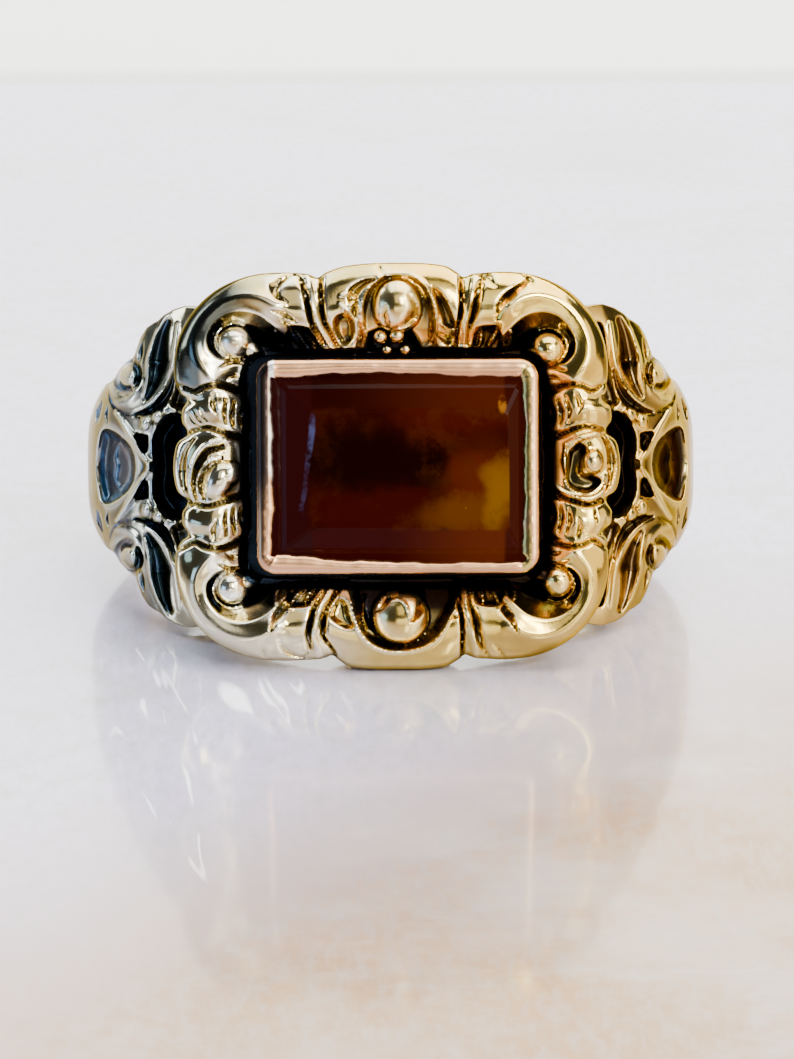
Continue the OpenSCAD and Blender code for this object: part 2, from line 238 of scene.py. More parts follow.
# Relief of the head. A place is x and z from the middle: without their signs for the corners, and with
# the one that points outwards always positive for the sides.
# Strokes: kind, places, widths at start, middle and end, depth. Pits: places, depth, width of the wall.
# Domes: place, radii, turn, height of the top, drop to the edge. Bosses: place, radii, rise
CORNER_FORMS = [
    # swelling back of the corner scroll
    ("swell", [[6.0, 2.9], [6.5, 3.5], [6.60, 4.2], [6.3, 4.95], [5.7, 5.5], [5.0, 5.7], [4.4, 5.6],
               [3.9, 5.3]], (0.30, 0.36, 0.26), 0.20),
    # hollow of the scroll: crisp edge, rounded wall, then deeper towards the bezel
    ("pit", [[6.10, 3.80], [6.12, 4.20], [5.94, 4.66], [5.52, 5.04], [4.95, 5.16], [4.35, 4.98],
             [3.85, 4.55], [3.45, 4.10], [3.40, 3.40], [4.50, 3.20], [5.30, 3.34], [5.80, 3.48]], 0.62, 0.62),
    ("pit", [[4.90, 4.68], [4.40, 4.50], [3.95, 4.15], [3.60, 3.90], [3.40, 3.30], [4.60, 3.10],
             [4.85, 3.50], [4.70, 4.05]], 0.70, 0.36),
    ("gouge", [[5.70, 4.70], [6.00, 4.20], [5.86, 3.70], [5.40, 3.42]], (0.10, 0.13, 0.06), 0.20),
    # thin rim round the eye
    ("wire", [[4.88, 4.60], [5.28, 4.66], [5.66, 4.46], [5.84, 4.05], [5.68, 3.66], [5.30, 3.46],
              [4.86, 3.46]], (0.05, 0.10, 0.06), 0.30),
    ("gouge", [[4.95, 3.30], [5.35, 3.34], [5.75, 3.20]], (0.03, 0.07, 0.03), 0.14),
    ("gouge", [[4.95, 2.90], [5.30, 2.98], [5.55, 2.84]], (0.03, 0.09, 0.03), 0.14),
    # grooves beside the ribbed leaf
    ("vee", [[4.95, 2.36], [5.40, 2.60], [5.80, 2.70], [6.25, 2.64], [6.60, 2.50], [6.95, 2.66],
             [7.30, 2.76]], (0.20, 0.13, 0.09), 0.40),
    ("vee", [[4.95, 0.96], [5.40, 1.02], [5.85, 1.18], [6.30, 1.30], [6.75, 1.20], [7.15, 1.02]],
     (0.20, 0.12, 0.08), 0.38),
    ("swell", [[5.60, 1.86], [6.30, 1.90], [6.90, 1.86]], (0.34, 0.36, 0.34), 0.14),
    # ribs of the leaf
    ("gouge", [[5.10, 2.06], [5.20, 1.66], [5.18, 1.32]], (0.05, 0.09, 0.04), 0.32),
    ("gouge", [[5.36, 2.18], [5.46, 1.74], [5.42, 1.36]], (0.05, 0.09, 0.04), 0.30),
    ("gouge", [[5.62, 2.26], [5.72, 1.84], [5.68, 1.44]], (0.04, 0.08, 0.03), 0.24),
    ("gouge", [[6.00, 2.38], [6.08, 2.06], [5.98, 1.76]], (0.05, 0.11, 0.04), 0.16),
    # inner feet of the lobe
    ("gouge", [[5.18, 0.96], [5.02, 0.40], [5.02, 0.00]], (0.10, 0.14, 0.14), 0.30),
    # grooves and thin ridge beside the palmette
    ("vee", [[2.52, 6.60], [2.50, 6.00], [2.50, 5.40], [2.40, 4.80], [2.12, 4.30], [1.90, 3.90]],
     (0.08, 0.11, 0.13), 0.36),
    ("wire", [[2.96, 6.46], [2.88, 5.90], [2.76, 5.20], [2.58, 4.60], [2.20, 3.95]],
     (0.08, 0.12, 0.05), 0.14),
    ("vee", [[3.32, 6.48], [3.08, 6.00], [2.94, 5.40], [2.80, 4.70], [2.45, 4.05]], (0.04, 0.12, 0.08), 0.34),
    # foot of the panel beside it, with thin fins running down to the gutter
    ("pit", [[2.92, 4.60], [3.20, 4.66], [3.50, 4.62], [3.62, 4.10], [3.50, 3.50], [2.30, 3.50],
             [2.62, 4.20]], 0.45, 0.16),
    ("wire", [[3.52, 4.70], [3.34, 4.30], [2.90, 3.78]], (0.07, 0.09, 0.03), 0.55),
    ("wire", [[3.06, 4.50], [2.86, 4.10], [2.56, 3.80]], (0.04, 0.06, 0.03), 0.36),
    ("wire", [[3.92, 4.46], [3.86, 4.10], [3.60, 3.80]], (0.06, 0.07, 0.03), 0.40),
    ("dome", (5.20, 4.00), (0.56, 0.56), 0, 12.66, 0.60),
    ("dome", (4.70, 3.78), (0.42, 0.27), 25, 12.40, 0.45),
]
UPPER_FORMS = [
    # hollow round the bud
    ("pit", [[0.00, 6.34], [0.50, 6.28], [0.92, 5.98], [1.16, 5.50], [1.28, 4.90], [1.30, 4.30],
             [1.25, 3.40], [-1.25, 3.40], [-1.30, 4.30], [-1.28, 4.90], [-1.16, 5.50], [-0.92, 5.98],
             [-0.50, 6.28]], 0.40, 0.30),
    ("wire", [[0.50, 6.32], [0.92, 6.02], [1.20, 5.50], [1.32, 4.95], [1.28, 4.40], [1.02, 3.90]],
     (0.04, 0.11, 0.06), 0.20),
    ("wire", [[-0.55, 6.24], [-0.95, 5.85], [-1.12, 5.40], [-1.14, 4.90], [-1.02, 4.40], [-0.70, 3.95]],
     (0.04, 0.08, 0.04), 0.22),
    # scooped leaves on both sides
    ("pit", [[1.14, 5.98], [1.48, 5.78], [1.86, 5.36], [2.16, 4.92], [2.24, 4.62], [1.95, 4.52], [1.62, 4.66],
             [1.44, 5.10]], 0.42, 0.26),
    ("wire", [[1.50, 4.70], [1.85, 4.52], [2.20, 4.56]], (0.05, 0.08, 0.03), 0.22),
    ("gouge", [[1.40, 4.36], [1.75, 4.20], [2.02, 4.34]], (0.10, 0.20, 0.08), 0.34),
    ("pit", [[-1.74, 5.10], [-1.46, 4.96], [-1.36, 4.60], [-1.42, 4.20], [-1.70, 3.98], [-2.00, 4.20],
             [-2.14, 4.66], [-2.02, 5.00]], 0.46, 0.28),
    ("gouge", [[-0.70, 6.20], [-1.15, 6.02], [-1.45, 5.70], [-1.42, 5.30], [-1.36, 4.95]],
     (0.06, 0.20, 0.10), 0.34),
    ("wire", [[-1.86, 5.64], [-1.62, 5.70], [-1.44, 5.54], [-1.50, 5.28], [-1.62, 5.14], [-1.90, 5.42]],
     (0.04, 0.08, 0.03), 0.18),
    ("vee", [[-0.60, 6.62], [-0.44, 6.34]], (0.10, 0.05, 0.02), 0.12),
    # black hollow of the seed beads
    ("pit", [[-0.95, 4.45], [-0.50, 4.64], [0.10, 4.64], [0.52, 4.50], [0.78, 4.05], [0.78, 3.50],
             [-0.95, 3.50]], 0.80, 0.20),
    ("dome", (0.02, 5.34), (0.86, 0.92), 0, 12.98, 0.80),
    ("gouge", [[-0.36, 5.30], [-0.42, 4.90], [-0.30, 4.56]], (0.04, 0.16, 0.08), 0.16),
    ("chisel", [[0.38, 5.66], [0.56, 5.20], [0.34, 4.80], [-0.05, 4.58]], (0.06, 0.22, 0.06), 0.24),
]
LOWER_FORMS = [
    # hollow round the bud
    ("pit", [[0.00, 6.12], [-0.48, 6.06], [-0.94, 5.82], [-1.26, 5.42], [-1.42, 5.00], [-1.52, 4.50],
             [-1.55, 3.40], [1.55, 3.40], [2.05, 4.10], [2.10, 4.62], [1.86, 4.94], [1.58, 5.34],
             [1.30, 5.66], [0.92, 5.94], [0.45, 6.08]], 0.85, 0.38),
    ("wire", [[-1.58, 4.44], [-1.46, 4.95], [-1.32, 5.38], [-0.98, 5.84], [-0.50, 6.10], [0.00, 6.16],
              [0.50, 6.12], [0.95, 5.98], [1.34, 5.70], [1.62, 5.34], [1.90, 4.96], [2.20, 4.74]],
     (0.07, 0.09, 0.07), 0.10),
    ("wire", [[-1.10, 4.30], [-1.16, 4.85], [-1.00, 5.35], [-0.72, 5.66]], (0.04, 0.07, 0.03), 0.28),
    # scooped leaves on both sides
    ("pit", [[-2.04, 4.34], [-1.70, 4.46], [-1.58, 4.90], [-1.44, 5.34], [-1.80, 5.36], [-2.26, 5.04],
             [-2.24, 4.70]], 0.34, 0.26),
    ("gouge", [[1.86, 5.04], [2.06, 5.02], [2.28, 5.00]], (0.05, 0.08, 0.05), 0.12),
    ("dome", (0.08, 5.02), (0.95, 0.92), 0, 12.86, 0.75),
    ("gouge", [[0.78, 4.20], [0.74, 4.70], [0.56, 5.04], [0.40, 5.18]], (0.12, 0.15, 0.03), 0.36),
    ("gouge", [[-0.40, 4.40], [-0.62, 4.72], [-0.78, 4.80]], (0.16, 0.10, 0.03), 0.30),
    ("wire", [[-0.34, 4.48], [0.00, 4.40], [0.24, 4.58], [0.34, 4.95], [0.44, 5.20]],
     (0.04, 0.05, 0.03), 0.10),
]
LEFT_FORMS = [
    ("gouge", [[6.70, 0.98], [7.02, 0.52], [7.12, -0.10], [7.06, -0.75], [6.84, -1.25]],
     (0.06, 0.14, 0.06), 0.20),
    ("wire", [[5.50, 0.84], [5.93, 0.89], [6.36, 0.74], [6.66, 0.38], [6.83, -0.12], [6.88, -0.58],
              [6.79, -1.06], [6.62, -1.40]], (0.05, 0.10, 0.06), 0.14),
    ("gouge", [[5.80, 0.66], [6.25, 0.52], [6.52, 0.22], [6.70, -0.22], [6.76, -0.66], [6.66, -1.08]],
     (0.10, 0.14, 0.05), 0.30),
    ("wire", [[5.84, 0.30], [6.22, 0.20], [6.50, -0.04], [6.67, -0.38], [6.70, -0.76]],
     (0.07, 0.09, 0.04), 0.14),
    ("gouge", [[6.12, 0.00], [6.42, -0.26], [6.54, -0.62], [6.42, -1.05]], (0.05, 0.11, 0.05), 0.24),
    ("dome", (5.92, -0.42), (0.74, 0.52), -62, 12.66, 0.55),
    ("dome", (5.62, -0.22), (0.42, 0.50), 20, 12.62, 0.60),
    ("chisel", [[6.20, 0.00], [6.34, -0.55], [6.36, -1.10]], (0.06, 0.10, 0.05), 0.08),
    ("gouge", [[6.94, 1.82], [6.78, 1.56], [6.56, 1.34]], (0.03, 0.05, 0.03), 0.07),
    ("gouge", [[6.76, 1.96], [6.60, 1.66], [6.40, 1.44]], (0.03, 0.05, 0.03), 0.07),
    ("gouge", [[6.58, 2.02], [6.46, 1.76], [6.28, 1.56]], (0.03, 0.05, 0.03), 0.07),
]
RIGHT_FORMS = [
    ("gouge", [[6.86, 1.00], [7.08, 0.52], [7.14, 0.00], [7.08, -0.50], [6.92, -0.88]],
     (0.08, 0.17, 0.07), 0.32),
    ("pit", [[5.70, 0.50], [6.02, 0.74], [6.28, 0.62], [6.26, 0.20], [6.16, -0.20], [6.62, -0.36],
             [6.78, -0.56], [6.44, -0.90], [5.92, -0.86], [5.60, -0.56], [5.62, -0.05]], 0.48, 0.20),
    ("wire", [[5.55, 0.70], [5.95, 0.88], [6.40, 1.00], [6.80, 1.08]], (0.06, 0.12, 0.08), 0.18),
    ("wire", [[5.18, -0.60], [5.60, -0.96], [6.20, -1.12], [6.66, -1.02], [6.94, -0.66], [6.98, -0.30]],
     (0.05, 0.12, 0.08), 0.18),
    ("wire", [[5.58, 0.64], [5.54, 0.12], [5.60, -0.36]], (0.05, 0.08, 0.04), 0.22),
    ("dome", (6.48, 0.12), (0.36, 0.44), 0, 12.74, 0.55),
    ("pit", [[6.88, 2.42], [7.06, 2.22], [7.06, 1.96], [6.90, 1.94], [6.78, 2.14]], 0.22, 0.12),
    ("pit", [[6.92, -1.76], [7.10, -1.84], [7.08, -2.10], [6.90, -2.32], [6.72, -2.30], [6.80, -2.02]],
     0.22, 0.12),
    ("gouge", [[6.54, -1.42], [6.58, -1.70], [6.64, -1.96]], (0.03, 0.06, 0.03), 0.12),
]
# Cuts across the rim, different at each corner
UPPER_RIGHT_FORMS = [
    ("chisel", [[3.50, 4.82], [3.62, 5.32], [4.02, 5.72], [4.52, 6.06]], (0.05, 0.19, 0.12), 0.38),
    ("gouge", [[4.40, 6.34], [4.66, 6.14], [4.64, 5.98]], (0.05, 0.08, 0.05), 0.20),
    ("gouge", [[3.12, 6.50], [3.26, 6.20], [3.44, 5.92]], (0.20, 0.14, 0.03), 0.24),
]
UPPER_LEFT_FORMS = [
    ("chisel", [[3.60, 5.44], [3.90, 5.66], [3.92, 6.02], [3.60, 6.28], [3.30, 6.42]],
     (0.05, 0.18, 0.05), 0.30),
    ("gouge", [[4.05, 5.16], [3.66, 5.04], [3.30, 4.80]], (0.04, 0.09, 0.04), 0.16),
    ("gouge", [[3.70, 4.90], [3.52, 4.62], [3.30, 4.20]], (0.04, 0.08, 0.04), 0.16),
]
LOWER_LEFT_FORMS = [
    ("gouge", [[4.10, 5.46], [3.96, 5.02], [3.74, 4.66], [3.52, 4.30]], (0.03, 0.16, 0.12), 0.34),
    ("gouge", [[4.36, 5.96], [4.28, 6.30]], (0.03, 0.07, 0.06), 0.12),
    ("chisel", [[3.10, 6.36], [3.52, 6.20], [3.76, 5.86], [3.80, 5.56]], (0.04, 0.13, 0.03), 0.18),
]
LOWER_RIGHT_FORMS = [
    ("gouge", [[4.12, 5.56], [3.90, 5.10], [3.62, 4.70], [3.44, 4.30]], (0.03, 0.14, 0.10), 0.32),
    ("gouge", [[3.40, 5.92], [3.56, 6.16], [3.68, 6.38]], (0.03, 0.07, 0.05), 0.12),
]
# Small beads under the upper bud: x, z, radius, height
SEED_BEADS = [(-0.54, 4.32, 0.25, 11.80), (0.02, 4.36, 0.27, 11.84),
              (-0.32, 3.90, 0.20, 11.42), (0.30, 3.90, 0.21, 11.42)]
# The hand-cut eyes sit a little differently: shift in x and z for each corner (right, top)
EYE_SHIFT = {(1, 1): (-0.06, -0.16), (-1, 1): (0.06, 0.18), (-1, -1): (0.24, 0.02), (1, -1): (0.30, -0.20)}


def band(t, z):
    """Height of the smooth band under the relief, from the gutter at t = 0 to the rim at 1."""
    rise = 0.115 - 0.055 * ease((z - 2.4) / 1.2)  # steeper at the top
    up = GUTTER_H + (BAND_H - GUTTER_H) * ease((t - 0.015) / rise)
    swell = (CREST_H - BAND_H) * np.sin(np.pi / 2 * np.clip((t - 0.12) / 0.44, 0, 1))
    down = (CREST_H - RIM_H) * (1 - np.sqrt(np.clip(1 - (np.clip(t - 0.56, 0, 1) / 0.442) ** 2, 0, 1)))
    return up + swell - down


def head_heights(x, z, t):
    """Height of the worked face at every place."""
    base = band(t, z) - BOW * x * x
    h = base.copy()
    ax, az = np.abs(x), np.abs(z)
    right, top = x >= 0, z >= 0
    for (sx, sz), (ox, oz) in EYE_SHIFT.items():
        here = (right == (sx > 0)) & (top == (sz > 0))
        near_eye = np.exp(-((ax[here] - 5.2) / 1.1) ** 2 - ((az[here] - 4.0) / 0.9) ** 2)
        p = np.stack([ax[here] - ox * near_eye, az[here] - oz * near_eye], axis=1)
        h[here] = carve(h[here], p, CORNER_FORMS)
    sides = ((top, x, z, UPPER_FORMS),
             (~top, x, -z, LOWER_FORMS),
             (~right, -x, z, LEFT_FORMS),
             (right, x, z, RIGHT_FORMS),
             (top & right, ax, az, UPPER_RIGHT_FORMS),
             (top & ~right, ax, az, UPPER_LEFT_FORMS),
             (~top & ~right, ax, az, LOWER_LEFT_FORMS),
             (~top & right, ax, az, LOWER_RIGHT_FORMS))
    for here, px, pz, forms in sides:
        h[here] = carve(h[here], np.stack([px[here], pz[here]], axis=1), forms)
    # the relief runs out at the gutter
    h = base + (h - base) * ease(t / 0.06)
    return np.maximum(h, LOWEST_CUT_H)


# Relief of a shoulder, drawn as the front view shows it: x and z without their signs, so that what an
# outline has below the middle only closes it
SHIELD = [[9.10, 0.05], [9.16, 0.46], [9.36, 0.86], [9.72, 1.20], [10.08, 1.36], [10.30, 1.22],
          [10.42, 0.60], [10.46, 0.00], [10.42, -0.60], [10.30, -1.10], [10.08, -1.22], [9.72, -1.06],
          [9.36, -0.76], [9.16, -0.36]]
SHOULDER_FORMS = [
    # crevice between the leaf and the head
    ("pit", [[7.00, 5.00], [7.30, 5.04], [7.44, 4.70], [7.50, 4.20], [7.58, 3.60], [7.72, 3.10], [7.92, 2.60],
             [7.90, 2.10], [7.00, 2.00]], 0.85, 0.34),
    # gouged leaf: a broad trough between a rolled rim by the head and a thin ridge outside
    ("gouge", [[7.96, 5.10], [8.12, 4.70], [8.26, 4.00], [8.34, 3.40], [8.50, 2.84], [8.74, 2.40]],
     (0.14, 0.34, 0.10), 0.66),
    ("swell", [[8.36, 4.80], [8.60, 4.00], [8.70, 3.20], [8.80, 2.60]], (0.04, 0.08, 0.05), 0.22),
    ("swell", [[7.62, 5.00], [7.72, 4.20], [7.80, 3.60], [8.00, 2.96], [8.36, 2.44], [8.80, 2.14]],
     (0.08, 0.12, 0.05), 0.26),
    ("gouge", [[8.84, 4.40], [8.92, 4.00], [8.96, 3.60]], (0.04, 0.10, 0.04), 0.22),
    # trough under the leaf
    ("gouge", [[7.78, 3.30], [7.96, 2.70], [8.26, 2.24], [8.70, 1.96], [9.16, 1.84]],
     (0.10, 0.20, 0.06), 0.66),
    # volute: a groove turned round its bead
    ("gouge", [[9.06, 2.90], [9.00, 3.30], [9.14, 3.66], [9.44, 3.70], [9.70, 3.42], [9.76, 3.02],
               [9.58, 2.72], [9.32, 2.68]], (0.10, 0.18, 0.14), 0.50),
    ("boss", (9.36, 3.18), (0.30, 0.36), 0.52),
    # smooth band from the fork round the volute
    ("swell", [[8.98, 3.20], [9.10, 2.66], [9.40, 2.30], [9.80, 2.20]], (0.10, 0.18, 0.12), 0.14),
    ("gouge", [[9.30, 1.86], [9.62, 1.96], [9.90, 2.24], [10.02, 2.70]], (0.03, 0.07, 0.03), 0.18),
    # blackened hollow between the head and the fork
    ("pit", [[7.00, 1.90], [7.90, 1.90], [8.30, 1.52], [8.54, 1.06], [8.56, 0.50], [8.50, 0.00],
             [8.56, -0.50], [8.54, -1.06], [8.30, -1.52], [7.90, -1.90], [7.00, -1.90]], 1.50, 0.42),
    # buds under the leaf
    ("boss", (8.34, 1.76), (0.26, 0.32), 0.50),
    ("boss", (8.78, 1.52), (0.20, 0.28), 0.34),
    # three-cornered hollow in the fork
    ("pit", [[8.68, 1.10], [9.16, 1.14], [9.06, 0.84], [8.86, 0.48], [8.72, 0.60]], 0.55, 0.14),
    # shield beyond the fork
    ("pit", SHIELD, 0.95, 0.40),
    ("swell", [[9.62, 1.00], [9.86, 0.40], [9.74, -0.30], [9.66, -0.90]], (0.06, 0.12, 0.06), 0.18),
    # ridge of the fork's arms, and the knob where they meet
    ("swell", [[8.66, 0.06], [8.92, 0.48], [9.20, 0.96], [9.48, 1.42], [9.78, 1.92]],
     (0.07, 0.08, 0.05), 0.34),
    ("boss", (8.68, 0.00), (0.15, 0.24), 0.30),
    # slits in the bud beyond the shield
    ("gouge", [[10.24, 2.30], [10.36, 1.94], [10.42, 1.56]], (0.03, 0.09, 0.04), 0.34),
    ("gouge", [[10.04, 2.14], [10.10, 1.84], [10.06, 1.54]], (0.02, 0.05, 0.02), 0.20),
]
# The front view draws a place at depth y VIEW_MM / (VIEW_BACK + y) times its size
VIEW_MM = 137.0
VIEW_BACK = 141.0


def hoop_surface(angle, v):
    """The hoop's outer skin, worked back along the line of sight: x, y and z, the cut, the shields."""
    a = np.where(angle > 180, 360 - angle, angle)
    half_w, rad, drop = (np.interp(a, HOOP_ROWS[:, 0], HOOP_ROWS[:, k]) for k in (1, 2, 3))
    z = v * half_w
    base = rad - drop * np.abs(v) ** 4
    x, y = base * np.sin(np.radians(angle)), -base * np.cos(np.radians(angle))
    cut = np.zeros(len(x))
    worked = (a > WORKED_FROM) & (a < WORKED_TO)
    nearness = VIEW_MM / (VIEW_BACK + y[worked])
    p = np.stack([np.abs(x[worked]), np.abs(z[worked])], axis=1) * nearness[:, None]
    cut[worked] = carve(cut[worked], p, SHOULDER_FORMS)
    cut *= ease((a - WORKED_FROM) / 4) * ease((WORKED_TO - a) / 6)
    shield = np.zeros(len(x))
    shield[worked] = ease(inside_depth(p, smooth_outline(SHIELD)) / 0.16)
    return x, y, z, cut, shield


def softened(h, cells, wrap=True):
    """Heights on a grid, blurred over a number of cells; the second direction may close round."""
    reach = 2 * cells
    weights = [math.exp(-(k / cells) ** 2) for k in range(-reach, reach + 1)]
    rows, cols = h.shape
    wide = np.pad(h, ((0, 0), (reach, reach)), "wrap" if wrap else "edge")
    across = sum(w * wide[:, k:k + cols] for k, w in enumerate(weights))
    tall = np.pad(across, ((reach, reach), (0, 0)), "edge")
    return sum(w * tall[k:k + rows] for k, w in enumerate(weights)) / sum(weights) ** 2


def clear_selection():
    """Leaves nothing selected, so that an operator works on the new piece alone."""
    for chosen in bpy.context.selected_objects:
        chosen.select_set(False)


def closed_round(values, close_rows):
    """A grid with its first column again at the end, and its first row too where the rows close."""
    values = np.concatenate([values, values[:, :1]], axis=1)
    return np.concatenate([values, values[:1]], axis=0) if close_rows else values


def pulled_grid(name, places, close_rows=False, shades=None, angle=38):
    """A primitive grid whose vertices are pulled to their places, then welded at its seams.

    places is rows x columns x 3 in the ring's own frame; the columns close round. shades holds a value
    from 0 to 1 for every place under each attribute's name. Bends up to angle degrees look smooth."""
    pts = closed_round(places, close_rows)
    rows, cols = pts.shape[:2]
    clear_selection()
    bpy.ops.mesh.primitive_grid_add(x_subdivisions=cols - 1, y_subdivisions=rows - 1, size=0.02)
    grid = bpy.context.object
    grid.name = grid.data.name = name
    grid.data.vertices.foreach_set("co", lying(pts.reshape(-1, 3)).astype(np.float32).ravel())
    for key, values in (shades or {}).items():
        shade = grid.data.attributes.new(key, "FLOAT", "POINT")
        shade.data.foreach_set("value", closed_round(values, close_rows).astype(np.float32).ravel())
    grid.data.update()
    bpy.ops.object.mode_set(mode="EDIT")
    bpy.ops.mesh.select_all(action="SELECT")
    bpy.ops.mesh.remove_doubles(threshold=2e-7)
    bpy.ops.mesh.normals_make_consistent(inside=False)
    bpy.ops.object.mode_set(mode="OBJECT")
    bpy.ops.object.shade_smooth_by_angle(angle=math.radians(angle))
    return grid


def quadrant_stations(rows, count):
    """Evenly spaced stations right round the setting, from the table of one quadrant."""
    mirror = np.array([-1, 1, -1, 1])
    flip = np.array([1, -1, 1, -1])
    quarter = through(np.vstack([rows[1] * mirror, rows, rows[-2] * flip]), 20)
    # even along a line that runs nearer to the rim than to the gutter
    mid = quarter[:, :2] * 0.35 + quarter[:, 2:] * 0.65
    length = np.concatenate([[0], np.cumsum(np.linalg.norm(np.diff(mid, axis=0), axis=1))])
    even = np.linspace(0, length[-1], count + 1)
    quarter = np.stack([np.interp(even, length, quarter[:, k]) for k in range(4)], axis=1)
    half = np.vstack([quarter, quarter[-2:0:-1] * flip])
    return np.vstack([half, -half])


def frame_finish(x, z, h, depth_t):
    """How black, how dull and how bright each place of the frame's face is, from 0 to 1: blackening with
    painted shade, painted dark reflection, and wear with painted highlights.
    """
    t = depth_t[:, None]
    # black in the recesses and low in the face near the gutter: blackening with painted shade
    dark = np.clip((softened(h, 6) - h - 0.03) / 0.27, 0, 1)
    dark = np.maximum(dark, np.clip((12.05 - h) / 0.55, 0, 1) * (t < 0.6))
    # painted shade: the feet of all the panels are black, and further up at the right
    at_top = ease((z - 2.4) / 1.2)
    foot = np.where(x > 0, 0.20, 0.10) * (1 - 0.5 * at_top)
    dark = np.maximum(dark, 1 - ease((t - 0.08 + 0.05 * at_top) / foot))
    # less black round the far ends of the buds
    far_end = np.maximum(ease((z - 5.3) / 0.5), 0.75 * ease((-z - 5.0) / 0.6))
    dark = dark * (1 - 0.75 * ease((1.7 - np.abs(x)) / 0.4) * far_end)
    # painted shade, black further out between the upper left eye and the notch
    by_eye = ease((4.80 - z) / 0.45) * ease((z - 2.9) / 0.4)
    by_eye = by_eye * ease((-x - 2.55) / 0.35) * ease((x + 4.75) / 0.35)
    dark = np.maximum(dark, 0.72 * by_eye)
    # painted dark reflection along the outer edge of the upper left scroll, and fainter on the left side
    painted_shade = ease((t - 0.56) / 0.12) * ease((-x - 3.8) / 1.8) * ease((z - 2.3) / 0.3)
    left_side = ease((-x - 6.4) / 0.5) * ease((2.3 - z) / 0.3)
    painted_shade = np.maximum(painted_shade * 0.9 * ease((6.7 - z) / 0.8), 0.40 * left_side)
    # painted shade dulls the lower rim at the right, and the right lobe too
    low_rim = ease((t - 0.62) / 0.12) * ease((-z - 4.2) / 0.8)
    painted_shade = np.maximum(painted_shade, 0.45 * low_rim * ease((x - 0.5) / 2.0))
    painted_shade = np.maximum(painted_shade, 0.42 * ease((x - 5.0) / 0.8) * ease((2.2 - np.abs(z)) / 0.5))
    # rubbed bright along every edge; painted highlights on the inner slopes of the left scrolls and on the
    # lower left rim
    worn_and_highlit = ease((h - softened(h, 5) - 0.012) / 0.05)
    slope = ease((t - 0.30) / 0.08) * ease((0.58 - t) / 0.08)
    worn_and_highlit = np.maximum(worn_and_highlit, slope * ease((-x - 3.6) / 0.6) * ease((np.abs(z) - 2.6) / 0.5))
    worn_and_highlit = np.maximum(worn_and_highlit, 0.5 * low_rim * ease((-x - 0.5) / 2.0))
    return dark, painted_shade, worn_and_highlit


def drawn_left(x, z, out):
    """How far the hand-made frame sits left of the mirrored one; out is 0 at the gutter and 1 at the rim."""
    left = (0.10 + 0.08 * out) * ease((np.abs(z) - 1.8) / 1.2) * ease((np.abs(x) - 2.6) / 1.8)
    # the notches beside the palmettes lie nearer to the middle than at the upper left
    left += 0.38 * np.exp(-((x - 2.6) / 0.75) ** 2) * ease((np.abs(z) - 3.8) / 1.0)
    left -= 0.42 * np.exp(-((x + 2.6) / 0.75) ** 2) * ease((-z - 5.5) / 0.8)
    return left


def seed_bead(x, z, radius, height):
    """One bead, with a painted highlight in front and painted shade, black, where it is set into the gutter.
    """
    clear_selection()
    place = lying(np.array([x, -height, z]))
    bpy.ops.mesh.primitive_uv_sphere_add(segments=20, ring_count=12, radius=radius * MM, location=place)
    bead = bpy.context.object
    bpy.ops.object.transform_apply(location=True, rotation=True, scale=True)
    bpy.ops.object.shade_smooth()
    forward = np.array([(place[1] - v.co.y) / (radius * MM) for v in bead.data.vertices])
    for key, values in (("recess", 1 - ease(forward * 1.2 + 0.35)), ("worn_and_highlit", ease(forward))):
        shade = bead.data.attributes.new(key, "FLOAT", "POINT")
        shade.data.foreach_set("value", values.astype(np.float32))
    return bead


def join_to(piece, extra):
    """Makes extra a part of the piece's own mesh."""
    clear_selection()
    extra.select_set(True)
    piece.select_set(True)
    bpy.context.view_layer.objects.active = piece
    bpy.ops.object.join()


